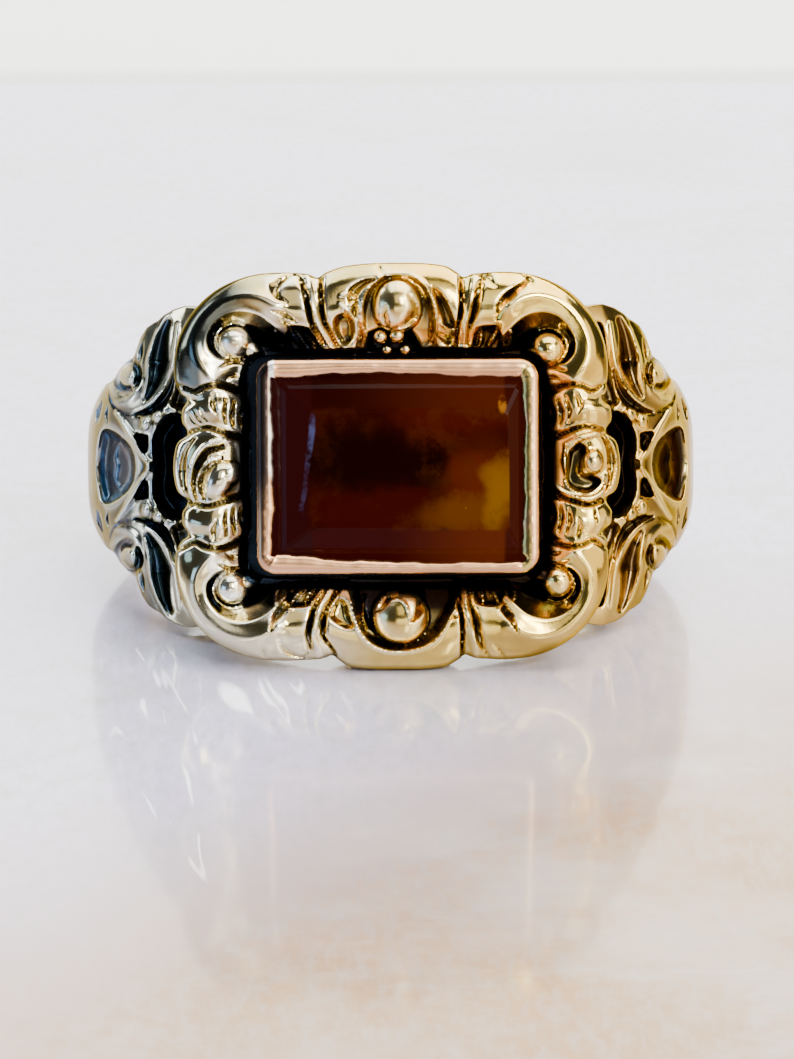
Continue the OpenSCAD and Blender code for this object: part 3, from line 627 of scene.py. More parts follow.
def build_scroll_frame():
    """The head's frame: its worked face, its outer wall, its foot in the hoop, and the seed beads."""
    stations = quadrant_stations(FRAME_ROWS, FRAME_AROUND)
    depth_t = np.linspace(0, 1, FRAME_ACROSS)
    s_in, s_out = stations[:, :2], stations[:, 2:]
    face = s_in + (s_out - s_in) * depth_t[:, None, None]
    x, z = face[..., 0], face[..., 1]
    h = head_heights(x.ravel(), z.ravel(), np.repeat(depth_t, len(stations))).reshape(x.shape)
    # the cuts are worn a little soft
    h = h * 0.35 + softened(h, 1) * 0.65
    dark, painted_shade, worn_and_highlit = frame_finish(x, z, h, depth_t)
    rows, shades = [], {"recess": [], "tarnish_and_painted_shade": [], "worn_and_highlit": []}

    def add(xz, y, black, tarnish_and_painted_shade=0.0, wear_and_highlight=0.0, out=1.0):
        """One line round the frame, with its shades."""
        flat = 0 * xz[:, 0]
        rows.append(np.stack([xz[:, 0] - drawn_left(xz[:, 0], xz[:, 1], out), y + flat, xz[:, 1]], axis=1))
        for key, value in (("recess", black), ("tarnish_and_painted_shade", tarnish_and_painted_shade), ("worn_and_highlit", wear_and_highlight)):
            shades[key].append(value + flat)

    # the gutter's floor is black: painted shade between the frame and the setting
    add(s_in * 0, -FLOOR_H, 1.0)
    add(s_in, -FLOOR_H, 1.0, out=0.0)
    for k, out in enumerate(depth_t):
        add(face[k], -h[k], dark[k], painted_shade[k], worn_and_highlit[k], out)
    # outer wall: rounded under the rim, then drawn in towards the hoop
    for share, height in ((1.000, 11.86), (0.998, 11.70), (0.990, 11.50), (0.972, 11.28), (0.948, 11.05),
                          (0.922, 10.82), (0.890, 10.60), (0.850, 10.38), (0.800, 10.15), (0.740, 9.95)):
        below_rim = np.minimum(height, h[-1] - 0.02 * (12.86 - height))
        black = dark[-1] * ease((height - 10.9) / 0.9) * 0.8
        add(s_in + (s_out - s_in) * share, -below_rim, black, painted_shade[-1])
    # foot, closed on a round inside the hoop
    foot = s_in + (s_out - s_in) * 0.62
    for share in (1.0, 0.75, 0.5, 0.25, 0.0):
        add(foot * share, -np.sqrt(BASE_R ** 2 - (foot[:, 0] * share) ** 2), 0.0)
    frame_piece = pulled_grid("scroll_frame", np.array(rows),
                              shades={key: np.array(values) for key, values in shades.items()})
    for bead in SEED_BEADS:
        join_to(frame_piece, seed_bead(*bead))
    return frame_piece


def build_hoop():
    """The shoulders and the shank in one: the section swept round the finger, and its relief."""
    worked = np.arange(WORKED_FROM - 1, WORKED_TO, HOOP_STEP)
    half = np.concatenate([[0, 8, 16, 24, 29], worked, np.arange(WORKED_TO + 1, 180, 2.5)])
    angles = np.concatenate([half, [180], 360 - half[:0:-1]])
    v = np.linspace(-1, 1, HOOP_ACROSS)
    a_grid, v_grid = np.meshgrid(angles, v, indexing="ij")
    skin = hoop_surface(a_grid.ravel(), v_grid.ravel())
    x, y, z, cut, shield = (values.reshape(a_grid.shape) for values in skin)
    cut = cut * 0.2 + softened(cut, 1, wrap=False) * 0.8
    level = softened(cut, 6, wrap=False)
    # black in the hollows and the deepest cuts, and partly in the shields: blackening with painted shade
    dark = np.maximum(np.clip((level - cut - 0.06) / 0.66, 0, 1), ease((-cut - 0.70) / 0.35))
    dark = dark * ease((WORKED_TO - np.minimum(angles, 360 - angles)) / 6)[:, None]
    dark = np.maximum(dark, shield * np.where(x < 0, 0.35, 0.62))
    # the shoulders are tarnished and darkened by painted shade, most in their hollows and least on their
    # rubbed ridges
    tarnish_and_painted_shade = 0.50 + 0.48 * ease((level - cut + 0.02) / 0.12) - 0.30 * ease((cut - level) / 0.08)
    tarnish_and_painted_shade = np.maximum(tarnish_and_painted_shade, shield)
    # the ridges are rubbed bright, with painted highlights
    worn_and_highlit = (0.20 + 0.45 * ease((cut - level - 0.01) / 0.07)) * (1 - ease((level - cut + 0.02) / 0.10))
    # no cut comes nearer to the finger than the wall allows
    wall = -np.sqrt(np.clip((BORE_R + LEAST_WALL) ** 2 - x ** 2, 0, None))
    y = np.where(y < 0, np.minimum(y - cut, wall), y)
    half_w = np.abs(z[:, -1])
    edge_r = np.hypot(x, y)[:, -1]
    # rounded sides, down to the bore: how far in, and the share of the thickness that is left
    inset_bore = 0.45
    sides = [(half_w - inset, BORE_R + (edge_r - BORE_R) * share) for inset, share in (
        (0.00, 0.80), (0.02, 0.55), (0.05, 0.30), (0.12, 0.14), (0.26, 0.03), (inset_bore, 0.0))]
    turn = np.radians(angles)
    flat = np.zeros(len(angles))

    def round_the_finger(r, w):
        """A line round the finger at radius r and height w, with its shades."""
        return np.stack([r * np.sin(turn), -r * np.cos(turn), w], axis=1), flat, flat + 0.4, flat

    cols = [round_the_finger(r, -w) for w, r in sides[::-1]]
    cols += [(np.stack([x[:, k], y[:, k], z[:, k]], axis=1), dark[:, k], tarnish_and_painted_shade[:, k], worn_and_highlit[:, k])
             for k in range(len(v))]
    cols += [round_the_finger(r, w) for w, r in sides]
    cols += [round_the_finger(BORE_R + flat, (half_w - inset_bore) * share)
             for share in (0.6, 0.2, -0.2, -0.6)]
    places, black, dull, bright = (np.stack([col[k] for col in cols], axis=1) for k in range(4))
    return pulled_grid("shoulders_and_shank", places, close_rows=True,
                       shades={"recess": black, "tarnish_and_painted_shade": dull, "worn_and_highlit": bright}, angle=80)


def rounded_outline(w, d, r, n_corner, n_side):
    """Points round a rectangle with rounded corners, and their outward directions."""
    pts, out = [], []
    quadrants = ((1, 1), (-1, 1), (-1, -1), (1, -1))
    to_corner = np.array([w / 2 - r, d / 2 - r])
    for k, quadrant in enumerate(quadrants):
        for j in range(n_corner + 1):
            turn = math.radians(90 * k + 90 * j / n_corner)
            outward = np.array([math.cos(turn), math.sin(turn)])
            pts.append(quadrant * to_corner + r * outward)
            out.append(outward)
        start = pts[-1]
        stop = quadrants[(k + 1) % 4] * to_corner + r * outward
        for j in range(1, n_side):
            pts.append(start + (stop - start) * j / n_side)
            out.append(outward)
    return np.array(pts), np.array(out)


def build_setting():
    """The rose gold box: upright wall, and a lip burnished over the stone by hand."""
    pts, out = rounded_outline(BEZEL_W, BEZEL_D, BEZEL_CORNER, 14, 60)
    arc = np.linspace(0, 2 * np.pi, len(pts), endpoint=False)
    wave = (0.020 * np.sin(5 * arc + 0.8) + 0.016 * np.sin(11 * arc + 2.1) + 0.012 * np.sin(23 * arc)
            + 0.008 * np.sin(47 * arc + 1.3) + 0.006 * np.sin(83 * arc + 0.4))
    lip_h = FLOOR_H + BEZEL_TALL + 0.03
    lip_from = lip_h - 0.41
    # the lip is rolled narrower along most of the bottom, and a little at the top
    narrow = (ease(-out[:, 1]) * (0.52 * ease((pts[:, 0] + 3.9) / 3.0) - 0.26)
              + ease(out[:, 1]) * (0.26 * np.exp(-((pts[:, 0] + 1.2) / 1.6) ** 2) - 0.12))
    rows = []

    def ring(inset, height, rough=0.0, lift=0.0):
        """One line round the box, as far in as inset says; rough and lift give it the hand-made wave."""
        width = inset * (1 - narrow * (height > lip_from))
        inner = pts - out * (width + wave * rough)[:, None]
        limit = np.stack([BEZEL_W / 2 - width, BEZEL_D / 2 - width], axis=1)
        soft = np.clip(inner, -limit - 0.05 * rough, limit + 0.05 * rough)
        rows.append(np.stack([soft[:, 0], -(height + lift * wave), soft[:, 1]], axis=1))

    rows.append(np.tile([0, -FLOOR_H, 0], (len(pts), 1)))
    ring(0.10, FLOOR_H)
    ring(0.02, FLOOR_H + 0.05)
    for up in (0.2, 0.8, 1.4, 2.0, 2.40):
        ring(0.0, FLOOR_H + up)
    for degrees in range(10, 171, 16):
        turn = math.radians(degrees)
        height = lip_h - LIP_RISE * (1 - math.sin(turn) ** 0.9)
        ring(LIP_ROUND * (1 - math.cos(turn)), height, 1.4 * ease((degrees - 105) / 60), 0.4)
    ring(0.545, lip_h - 0.26, 1.6, 0.2)
    ring(0.50, lip_h - 0.40, 0.6, 0.0)
    ring(0.32, lip_h - 0.42)
    ring(0.30, lip_h - 0.62)
    ring(0.62, lip_h - 0.95)
    ring(1.30, FLOOR_H + 0.45)
    rows.append(np.tile([0, -(FLOOR_H + 0.45), 0], (len(pts), 1)))
    return pulled_grid("setting", np.array(rows), angle=50)


def build_stone():
    """Step-cut stone: table, two steps of crown, two of pavilion, all edges hardly rounded."""
    # width, depth, height from the girdle, share of the table's shift
    steps = ((0.30 * STONE_W, 0.16 * STONE_D, -PAVILION_T, 0),
             (0.72 * STONE_W, 0.62 * STONE_D, -0.7 * PAVILION_T, 0),
             (STONE_W, STONE_D, -0.06, 0),
             (STONE_W, STONE_D, 0.06, 0),
             ((STONE_W + TABLE_W) / 2 + 0.15, (STONE_D + TABLE_D) / 2 + 0.15, 0.62 * CROWN_T, 0.4),
             (TABLE_W, TABLE_D, CROWN_T, 1))
    corner = 0.12
    rings = []
    for w, d, height, shift in steps:
        a, b = w / 2, d / 2
        ca, cb = a - corner, b - corner
        corners = np.array([[-ca, -b], [ca, -b], [a, -cb], [a, cb], [ca, b], [-ca, b], [-a, cb], [-a, -cb]])
        rings.append(np.stack([corners[:, 0] + shift * TABLE_SHIFT, np.full(8, -(GIRDLE_H + height)),
                               corners[:, 1] - shift * TABLE_DROP], axis=1))
    ends = [np.tile(ring.mean(axis=0), (8, 1)) for ring in (rings[0], rings[-1])]
    cut_stone = pulled_grid("step_cut_stone", np.array([ends[0]] + rings + [ends[1]]))
    bevel = cut_stone.modifiers.new("facet_edges", "BEVEL")
    bevel.width = 0.01 * MM
    bevel.segments = 2
    bevel.limit_method = "ANGLE"
    bevel.angle_limit = math.radians(8)
    bpy.ops.object.modifier_apply(modifier="facet_edges")
    bpy.ops.object.shade_flat()
    return cut_stone


class Sock:
    """A socket in a node tree; arithmetic on it adds Math nodes."""

    def __init__(self, tree, link):
        self.tree, self.link = tree, link

    def made(self, kind, settings=None, out=0, **inputs):
        """An output of a new node. Settings are set first, then the inputs, by name or by number as in i0."""
        new = self.tree.nodes.new(kind)
        for key, value in (settings or {}).items():
            setattr(new, key, value)
        for key, value in inputs.items():
            sock = new.inputs[int(key[1:]) if key[1:].isdigit() else key.replace("_", " ")]
            if isinstance(value, Sock):
                self.tree.links.new(value.link, sock)
            else:
                sock.default_value = value
        return Sock(self.tree, new.outputs[out])

    def calc(self, operation, a, b=0.0):
        return self.made("ShaderNodeMath", {"operation": operation}, i0=a, i1=b)

    def __add__(self, other):
        return self.calc("ADD", self, other)

    __radd__ = __add__

    def __sub__(self, other):
        return self.calc("SUBTRACT", self, other)

    def __rsub__(self, other):
        return self.calc("SUBTRACT", other, self)

    def __mul__(self, other):
        return self.calc("MULTIPLY", self, other)

    __rmul__ = __mul__

    def __truediv__(self, other):
        return self.calc("DIVIDE", self, other)

    def clamp(self):
        return self.made("ShaderNodeClamp", None, Value=self)

    def ramp(self, low, high):
        """A soft step from 0 at low to 1 at high."""
        return self.made("ShaderNodeMapRange", {"interpolation_type": "SMOOTHSTEP"}, Value=self,
                         From_Min=low, From_Max=high)

    def mix(self, a, b):
        """Colour a where this socket is 0, colour b where it is 1."""
        a, b = (c if isinstance(c, Sock) else (*c, 1) for c in (a, b))
        return self.made("ShaderNodeMix", {"data_type": "RGBA"}, out=2, i0=self, i6=a, i7=b)

    def noise(self, scale, detail, roughness, **more):
        return self.made("ShaderNodeTexNoise", None, Vector=self, Scale=scale, Detail=detail,
                         Roughness=roughness, **more)

    def in_mm(self, axis):
        """One coordinate of this place, in millimetres."""
        return self.made("ShaderNodeSeparateXYZ", None, out=axis, Vector=self) * 1000.0

    def attribute(self, name):
        """A piece's own attribute, as its single value."""
        return self.made("ShaderNodeAttribute", {"attribute_name": name}, out=2)


def new_material(name):
    """A material, its shader and the place of each point on the piece."""
    material = bpy.data.materials.new(name)
    material.use_nodes = True
    nodes = material.node_tree.nodes
    place = Sock(material.node_tree, nodes.new("ShaderNodeTexCoord").outputs["Object"])
    return material, nodes["Principled BSDF"], place


def feed(shader, **inputs):
    """Sets the shader's inputs, or links sockets to them."""
    for key, value in inputs.items():
        sock = shader.inputs[key.replace("_", " ")]
        if isinstance(value, Sock):
            shader.id_data.links.new(value.link, sock)
        else:
            sock.default_value = value


def squared(value):
    return value * value


def away(u, w, middle, radii):
    """Squared distance from the middle of an oval: 1 on its outline."""
    return squared((u - middle[0]) / radii[0]) + squared((w - middle[1]) / radii[1])


def up_the_finger(place):
    """Height along the finger's axis, from the middle of the head, in the ring's own millimetres."""
    return (place.in_mm(1) - SHIFT_Y) * math.sin(LEAN) + (place.in_mm(2) - LIFT) * math.cos(LEAN)


def out_of_the_head(place):
    """Height towards the viewer, from the finger's axis."""
    return (place.in_mm(2) - LIFT) * math.sin(LEAN) - (place.in_mm(1) - SHIFT_Y) * math.cos(LEAN)


def scratches(place, scale):
    """Fine lines, running the way in which the scale is smallest."""
    return place.made("ShaderNodeMapping", None, Vector=place, Scale=scale).noise(1.0, 3.0, 0.6)


def gold_material(name, bright, dull, edge, rough):
    """Plain worn gold; also gives what a blackened or darker one builds on."""
    material, shader, place = new_material(name)
    fine = place.noise(900.0, 4.0, 0.6)
    cloud = place.noise(260.0, 3.0, 0.5)
    lines = scratches(place, (2600.0, 2600.0, 420.0)) + scratches(place, (520.0, 1800.0, 3400.0))
    rubbed = cloud.ramp(0.42, 0.62)
    colour = rubbed.mix(bright, dull)
    roughness = rubbed * 0.05 + rough + fine.ramp(0.5, 0.75) * 0.05
    marks = lines * 0.5 + fine * 0.4 + cloud * 4.0
    bump = place.made("ShaderNodeBump", None, Height=marks, Strength=0.15, Distance=0.00006)
    feed(shader, Base_Color=colour, Roughness=roughness, Metallic=1.0, Specular_Tint=(*edge, 1), Normal=bump)
    return material, shader, place, colour, roughness, fine, cloud


def blackened_and_shaded_gold(name, bright, dull, edge, rough):
    """Gold with blackened recesses, tarnished hollows and painted shade; painted light makes it paler and
    bluish at the left, warm and brown at the right.
    """
    material, shader, place, colour, roughness, fine, cloud = gold_material(name, bright, dull, edge, rough)
    across = place.in_mm(0)
    # painted light: the left half darker and cooler, the right half warm
    right = (across + (cloud - 0.5) * 6.0).ramp(-8.0, 4.0)
    colour = right.mix((0.43, 0.36, 0.175), colour)
    # painted shade: the left shoulder darker and greyer
    shoulder = (0.0 - across).ramp(7.0, 8.4)
    colour = shoulder.mix(colour, (0.27, 0.24, 0.155))
    # rubbed edges, with painted highlights: white at the left, warm at the right, cyan on the left shoulder
    worn_and_highlit = place.attribute("worn_and_highlit")
    pale = shoulder.mix(right.mix((0.90, 0.90, 0.78), (0.84, 0.65, 0.24)), (0.64, 0.76, 0.75))
    colour = (worn_and_highlit * 0.8).mix(colour, pale)
    # a dark coat of tarnished metal and painted shade, with a painted deep blue reflection in the hollow of
    # the left shield
    tarnish_and_painted_shade = (place.attribute("tarnish_and_painted_shade") + (cloud - 0.5) * 0.5).ramp(0.15, 1.0)
    tarnish_and_shade_colour = right.mix((0.046, 0.060, 0.056), (0.165, 0.110, 0.052))
    tarnish_and_shade_colour = shoulder.mix(tarnish_and_shade_colour, (0.038, 0.072, 0.105))
    blue = (0.0 - across).ramp(8.9, 9.2) * tarnish_and_painted_shade.ramp(0.55, 0.95)
    specks = (cloud * 0.5 + fine * 0.5).ramp(0.44, 0.58)
    tarnish_and_shade_colour = blue.mix(tarnish_and_shade_colour, specks.mix((0.002, 0.014, 0.034), (0.014, 0.14, 0.30)))
    colour = tarnish_and_painted_shade.mix(colour, tarnish_and_shade_colour)
    # blackened recesses with painted shade, painted brown where they begin
    dark = (place.attribute("recess") * 1.15 + (fine - 0.5) * 0.20).ramp(0.15, 0.78)
    brown = (dark * (1.0 - dark) * (1.0 - shoulder) * 3.2).clamp()
    colour = brown.mix(colour, (0.16, 0.135, 0.07))
    colour = dark.mix(colour, right.mix((0.010, 0.020, 0.036), (0.013, 0.008, 0.005)))
    feed(shader, Base_Color=colour, Roughness=roughness + dark * 0.12 + worn_and_highlit * 0.10,
         Metallic=1.0 - blue * 0.50)
    return material


def lip_gold(name, bright, dull, edge, rough):
    """Rose gold of the setting; painted shade darkens the flank that faces away at the left."""
    material, shader, place, colour, _, fine, cloud = gold_material(name, bright, dull, edge, rough)
    x, up = place.in_mm(0), up_the_finger(place)
    flank = (0.0 - x).ramp(4.20, 4.30) * (up + (cloud - 0.5) * 5.0).ramp(-4.4, 0.4)
    colour = flank.mix(colour, (0.040, 0.028, 0.024))
    # inner flanks: a painted white highlight at the left, painted olive glints where the stone's light falls
    # on the right
    left = (0.0 - x).ramp(4.04, 4.10) * (1.0 - (0.0 - x).ramp(4.20, 4.28))
    left = left * (up + (fine - 0.5) * 3.0).ramp(-0.6, 0.2)
    colour = left.mix(colour, (0.98, 0.97, 0.95))
    inner = x.ramp(4.06, 4.12) * (1.0 - x.ramp(4.36, 4.46)) * fine.ramp(0.30, 0.50)
    colour = (inner * 0.9).mix(colour, (0.38, 0.30, 0.08))
    feed(shader, Base_Color=colour)
    return material


# Painted lights and darks inside the stone: x and z of the middle, radii, soft from and to, colour
STONE_GLOWS = [
    # broad glow at the top, and a red one low down
    ((2.2, 1.75), (2.7, 0.95), 0.1, 1.3, (0.070, 0.0046, 0.0002)),
    ((-0.4, -1.5), (3.0, 1.1), 0.1, 1.3, (0.040, 0.0012, 0.0002)),
    # amber at the lower right, with its two brightest places
    ((2.95, -1.0), (1.5, 1.9), 0.1, 1.4, (0.118, 0.014, 0.0003)),
    ((2.2, -1.55), (1.3, 0.60), 0.0, 1.9, (0.155, 0.042, 0.001)),
    ((3.25, -0.95), (0.42, 1.05), 0.0, 2.6, (0.27, 0.105, 0.002)),
    # dark heart
    ((-1.3, 0.3), (2.3, 1.2), 0.2, 1.25, (0.0006, 0.0001, 0.0001)),
    ((0.8, 0.0), (1.2, 0.75), 0.2, 1.3, (0.0008, 0.0001, 0.0001)),
]


def stone_material():
    """Dark orange-brown stone, with its light and shade painted as glows from within."""
    material, shader, place = new_material("amber_stone")
    drift = place.noise(420.0, 3.0, 0.55)
    wisps = place.noise(1300.0, 5.0, 0.7)
    x, up, height = place.in_mm(0), up_the_finger(place), out_of_the_head(place)
    u = x + (drift - 0.5) * 2.0
    w = up + (wisps - 0.5) * 1.2
    light = drift.ramp(0.3, 0.7).mix((0.016, 0.0006, 0.0002), (0.026, 0.0014, 0.0003))
    for middle, radii, near, far, colour in STONE_GLOWS:
        light = away(u, w, middle, radii).ramp(near, far).mix(colour, light)
    # painted bright feathers low in the amber, and painted mottles all over
    feather = wisps.ramp(0.60, 0.68) * (1.0 - away(x, up, (2.7, -1.5), (0.9, 0.8)).ramp(0.3, 1.1))
    light = feather.mix(light, (0.34, 0.16, 0.006))
    mottle = wisps.ramp(0.44, 0.60) * drift.ramp(0.42, 0.60) * (0.20 + 0.30 * x.ramp(-1.0, 3.0))
    light = mottle.mix(light, (0.100, 0.022, 0.0004))
    # painted light and shade on the crown's facets, below the table's level: top, bottom, right and left
    crown = 1.0 - height.ramp(13.28, 13.34)
    top = x.ramp(-2.6, 3.4).mix((0.015, 0.0007, 0.0002), (0.095, 0.012, 0.0003))
    light = (crown * up.ramp(1.7, 2.1)).mix(light, top)
    low = x.ramp(-0.6, 3.2).mix((0.034, 0.0008, 0.0001), (0.118, 0.017, 0.0003))
    light = (crown * (0.0 - up).ramp(1.9, 2.1)).mix(light, low)
    light = (crown * x.ramp(3.45, 3.6)).mix(light, (0.046, 0.0038, 0.0002))
    light = (crown * (0.0 - x).ramp(2.75, 2.9)).mix(light, (0.024, 0.0024, 0.0026))
    # a painted spark at the table's upper right corner
    spark = 1.0 - away(x, up, (3.45, 2.05), (0.16, 0.34)).ramp(0.2, 1.2)
    light = (spark * wisps.ramp(0.45, 0.60)).mix(light, (0.50, 0.17, 0.01))
    # painted blue-violet reflection inside the left edge of the table, leaning and fainter lower down
    gleam = 1.0 - squared((x + 2.90 - up * 0.097 + (drift - 0.5) * 0.9) / 0.10).ramp(0.1, 1.4)
    gleam = gleam * (1.0 - squared(up / 1.85).ramp(0.4, 1.0)) * (up.ramp(-0.8, 1.2) * 0.65 + 0.35)
    light = (gleam * wisps.ramp(0.40, 0.60)).mix(light, (0.078, 0.085, 0.21))
    feed(shader, Base_Color=(0.004, 0.0005, 0.0003, 1), Roughness=wisps * 0.03 + 0.03, Metallic=0.0,
         Emission_Color=light, Emission_Strength=1.0, IOR=1.54, Specular_IOR_Level=0.03)
    return material


def wall_material():
    """Pale wall, seen only mirrored in the slab; painted warm light makes it warmer higher up and to the
    right.
    """
    material, shader, place = new_material("pale_wall")
    warm = place.in_mm(2).ramp(105.0, 150.0) * (place.in_mm(0).ramp(-100.0, 100.0) * 0.4 + 0.6)
    feed(shader, Base_Color=warm.mix((0.86, 0.87, 0.88), (0.84, 0.66, 0.44)), Roughness=0.6)
    return material


def marble_material():
    """Polished pale marble: cool white, faint grey veins, a warmer tint to the right and the front that is
    partly painted warm light, and painted glints.
    """
    material, shader, place = new_material("pale_marble")
    x, y = place.in_mm(0), place.in_mm(1)
    cloud = place.noise(60.0, 6.0, 0.7)
    bent = place.noise(28.0, 5.0, 0.62, Distortion=1.4)
    vein = 1.0 - place.calc("ABSOLUTE", bent - 0.5).ramp(0.0, 0.030)
    # from cool lilac to warm towards the right and the front: partly the marble's own tone, partly painted
    # warm light
    warm_tint_and_light = (x * 0.050 - y * 0.045 + (cloud - 0.5) * 0.7 - 0.35).ramp(0.0, 1.3)
    colour = warm_tint_and_light.mix((0.62, 0.595, 0.86), (0.36, 0.20, 0.085))
    colour = (cloud.ramp(0.35, 0.70) * 0.55).mix(colour, (0.62, 0.61, 0.66))
    colour = (vein * cloud.ramp(0.40, 0.60) * 0.55).mix(colour, (0.46, 0.47, 0.50))
    smudge = away(x + (bent - 0.5) * 30.0, y + (cloud - 0.5) * 60.0, (17.0, 98.0), (6.5, 13.0))
    colour = ((1.0 - smudge.ramp(0.1, 1.1)) * 0.30).mix(colour, (0.42, 0.43, 0.44))
    grain = place.made("ShaderNodeCombineXYZ", None, X=x, Y=y * 0.3).noise(2.2, 5.0, 0.75)
    colour = (grain.ramp(0.40, 0.70) * 0.5).mix(colour, (0.40, 0.39, 0.43))
    # painted reflection of the ring's highlights on the slab, in thin broken strokes in front of its left
    # half
    slant = place.made("ShaderNodeCombineXYZ", None, X=x + y * 0.14, Y=y * 0.10)
    strokes = 1.0 - place.calc("ABSOLUTE", slant.noise(1.1, 1.0, 0.5) - 0.5).ramp(0.0, 0.045)
    broken = slant.noise(1.9, 1.0, 0.5).ramp(0.52, 0.60)
    long_patch = 1.0 - away(x + (y + 9.0) * 0.14, y, (-9.0, -20.0), (1.6, 14.0)).ramp(0.3, 1.1)
    round_patch = 1.0 - away(x, y, (-4.2, -15.5), (2.8, 3.6)).ramp(0.3, 1.1)
    glint = 1.0 - away(x + (y + 14.2) * 0.2, y, (-5.4, -14.2), (0.5, 1.9)).ramp(0.2, 1.1)
    thrown = (strokes * broken * (long_patch + round_patch).clamp() + glint).clamp()
    feed(shader, Base_Color=colour, Roughness=cloud * 0.1 + 0.25, Coat_Roughness=0.08,
         Coat_Weight=grain.ramp(0.30, 0.70) * 0.18 + 0.74,
         Emission_Color=thrown.mix((0, 0, 0), (2.0, 2.0, 1.9)), Emission_Strength=1.0)
    return material


def far_slab_material():
    """The slab beyond, in shade where the marble's edge overhangs it."""
    material, shader, place = new_material("far_slab")
    shade = 1.0 - place.in_mm(1).ramp(159.0, 166.0)
    feed(shader, Base_Color=shade.mix((0.86, 0.87, 0.87), (0.60, 0.61, 0.61)), Roughness=0.4)
    return material


# Colours: bright metal, duller metal, tint of its edges; then the roughness
yellow_gold = blackened_and_shaded_gold("yellow_gold", (0.64, 0.445, 0.085), (0.53, 0.355, 0.060),
                             (0.62, 0.50, 0.28), 0.11)
rose_gold = lip_gold("rose_gold", (0.67, 0.36, 0.18), (0.58, 0.305, 0.15), (0.85, 0.66, 0.50), 0.25)

# The four pieces, and the solids that they stand for
scroll_frame = build_scroll_frame()
hoop = build_hoop()
setting = build_setting()
stone = build_stone()
for piece, material, node, slot in ((scroll_frame, yellow_gold, "ring_body", "yellow_gold"),
                                    (hoop, yellow_gold, "ring_body", "yellow_gold"),
                                    (setting, rose_gold, "bezel", "rose_gold"),
                                    (stone, stone_material(), "stone", "amber_stone")):
    piece.data.materials.clear()
    piece.data.materials.append(material)
    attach(piece, "root")
    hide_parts(node)

# Studio: a marble slab with its back edge behind the ring, a lower slab beyond it, a bright backdrop
SLAB_W, FRONT_Y, EDGE_Y, BACKDROP_Y = 0.9, -0.32, 0.127, 0.36


def flat_piece(name, middle, size, material, turned_up=0):
    """A flat surface of a size in metres, turned up by some degrees."""
    clear_selection()
    bpy.ops.mesh.primitive_plane_add(size=1, location=middle, rotation=(math.radians(turned_up), 0, 0))
    plane = bpy.context.object
    plane.name = name
    plane.scale = (*size, 1)
    bpy.ops.object.transform_apply(location=True, rotation=True, scale=True)
    plane.data.materials.append(material)
    return plane


floor = flat_piece("floor", (0, (FRONT_Y + EDGE_Y) / 2, 0), (SLAB_W, EDGE_Y - FRONT_Y), marble_material())
far_slab = flat_piece("far_slab", (0, (EDGE_Y + BACKDROP_Y) / 2, -0.004), (SLAB_W, BACKDROP_Y - EDGE_Y),
                      far_slab_material())
wall = flat_piece("backdrop", (0, BACKDROP_Y, 0.05), (0.7, 0.30), wall_material(), 90)


def soft_light(name, place, aim, size, power, colour):
    """A soft rectangular light that looks at aim."""
    clear_selection()
    bpy.ops.object.light_add(type="AREA", location=place)
    light = bpy.context.object
    light.name = name
    light.data.shape = "RECTANGLE"
    light.data.size, light.data.size_y = size
    light.data.energy = power
    light.data.color = colour
    light.rotation_euler = (Vector(aim) - Vector(place)).to_track_quat("-Z", "Y").to_euler()


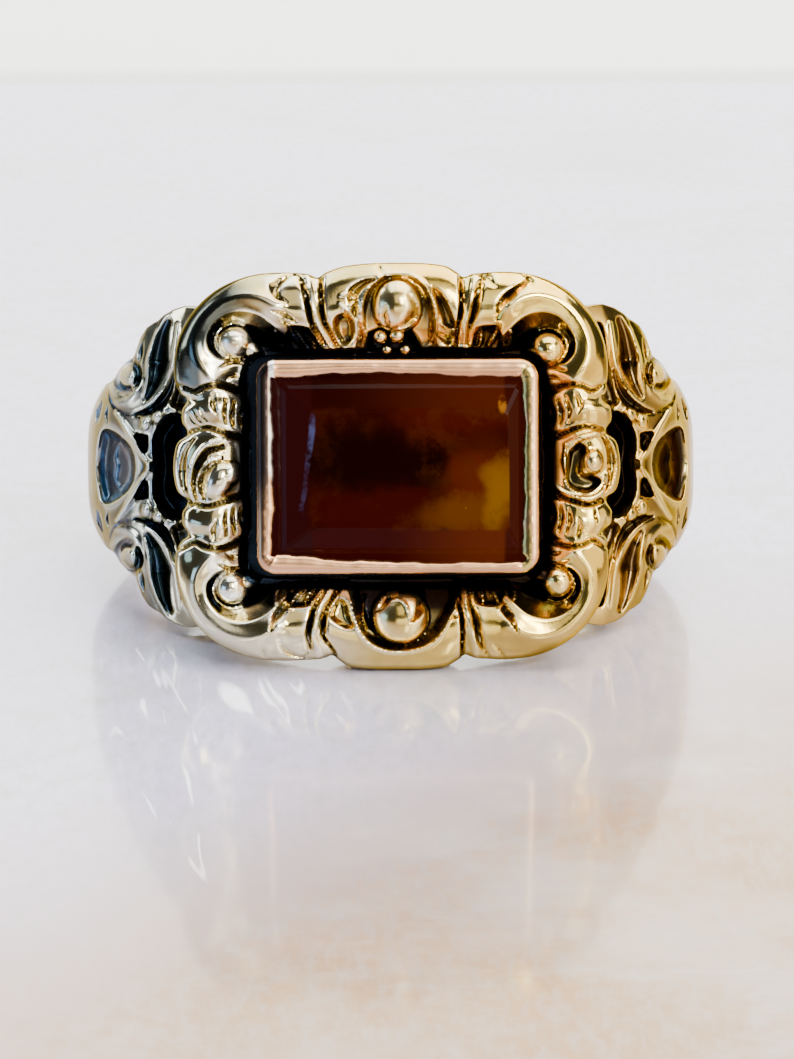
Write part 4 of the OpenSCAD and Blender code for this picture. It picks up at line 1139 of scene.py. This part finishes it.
# Places in metres, sizes, power in watts and colours
target = (0, 0, 0.006)
soft_light("window_front", (0.136, -0.337, 0.21), target, (0.07, 0.15), 1.25, (1.0, 0.99, 0.96))
soft_light("front_high", (0.07, -0.324, 0.26), target, (0.29, 0.22), 0.34, (1.0, 0.94, 0.84))
soft_light("front_low", (0.07, -0.40, 0.032), target, (0.32, 0.06), 0.22, (1.0, 0.96, 0.90))
soft_light("warm_right", (0.33, -0.09, 0.09), target, (0.30, 0.22), 0.54, (1.0, 0.82, 0.54))
soft_light("window_right", (0.22, -0.24, 0.14), target, (0.11, 0.26), 0.85, (1.0, 0.97, 0.90))
soft_light("high_right", (0.24, -0.20, 0.24), target, (0.10, 0.10), 0.55, (1.0, 0.98, 0.94))
soft_light("window_left", (-0.30, 0.10, 0.15), target, (0.06, 0.26), 0.9, (0.84, 0.93, 1.0))
soft_light("sky_left", (-0.26, -0.14, 0.05), target, (0.16, 0.08), 0.16, (0.30, 0.55, 1.0))
soft_light("ceiling_left", (-0.11, 0.12, 0.46), (-0.11, 0.12, 0), (0.22, 0.64), 2.6, (0.86, 0.94, 1.0))
soft_light("ceiling_right", (0.20, 0.12, 0.46), (0.20, 0.12, 0), (0.40, 0.64), 6.8, (1.0, 0.90, 0.76))
soft_light("back_wash", (0.0, 0.20, 0.22), (0.0, 0.30, 0.0), (0.50, 0.06), 1.3, (0.97, 1.0, 1.0))

world = bpy.data.worlds.new("studio")
world.use_nodes = True
bpy.context.scene.world = world
feed(world.node_tree.nodes["Background"], Color=(0.60, 0.64, 0.70, 1), Strength=0.13)

# Camera: hardly above the hoop's own plane, so that the head is seen square on
FOCAL_PX, WIDTH_PX, HEIGHT_PX = 3835.0, 794.0, 1059.0
RING_PX = (392.5, 465.0)
AZIMUTH = math.radians(-1.12)
ABOVE_HOOP = math.radians(0.3)
DISTANCE = 0.1355
TO_HEAD = 4.0
elevation = LEAN + ABOVE_HOOP
centre = Vector(lying(np.array([0.0, -TO_HEAD, 0.0])))
camera_data = bpy.data.cameras.new("camera")
camera = bpy.data.objects.new("camera", camera_data)
bpy.context.collection.objects.link(camera)
camera_data.sensor_fit = "HORIZONTAL"
camera_data.sensor_width = 36.0
camera_data.lens = 36.0 * FOCAL_PX / WIDTH_PX
camera_data.clip_start = 0.005
back = Vector((math.sin(AZIMUTH) * math.cos(elevation), -math.cos(AZIMUTH) * math.cos(elevation),
               math.sin(elevation)))
camera.location = centre + back * DISTANCE
down = math.atan((HEIGHT_PX / 2 - RING_PX[1]) / FOCAL_PX)
side = math.atan((RING_PX[0] - WIDTH_PX / 2) / FOCAL_PX)
camera.rotation_euler = (math.radians(90) - elevation - down, 0, side + AZIMUTH)
bpy.context.scene.camera = camera
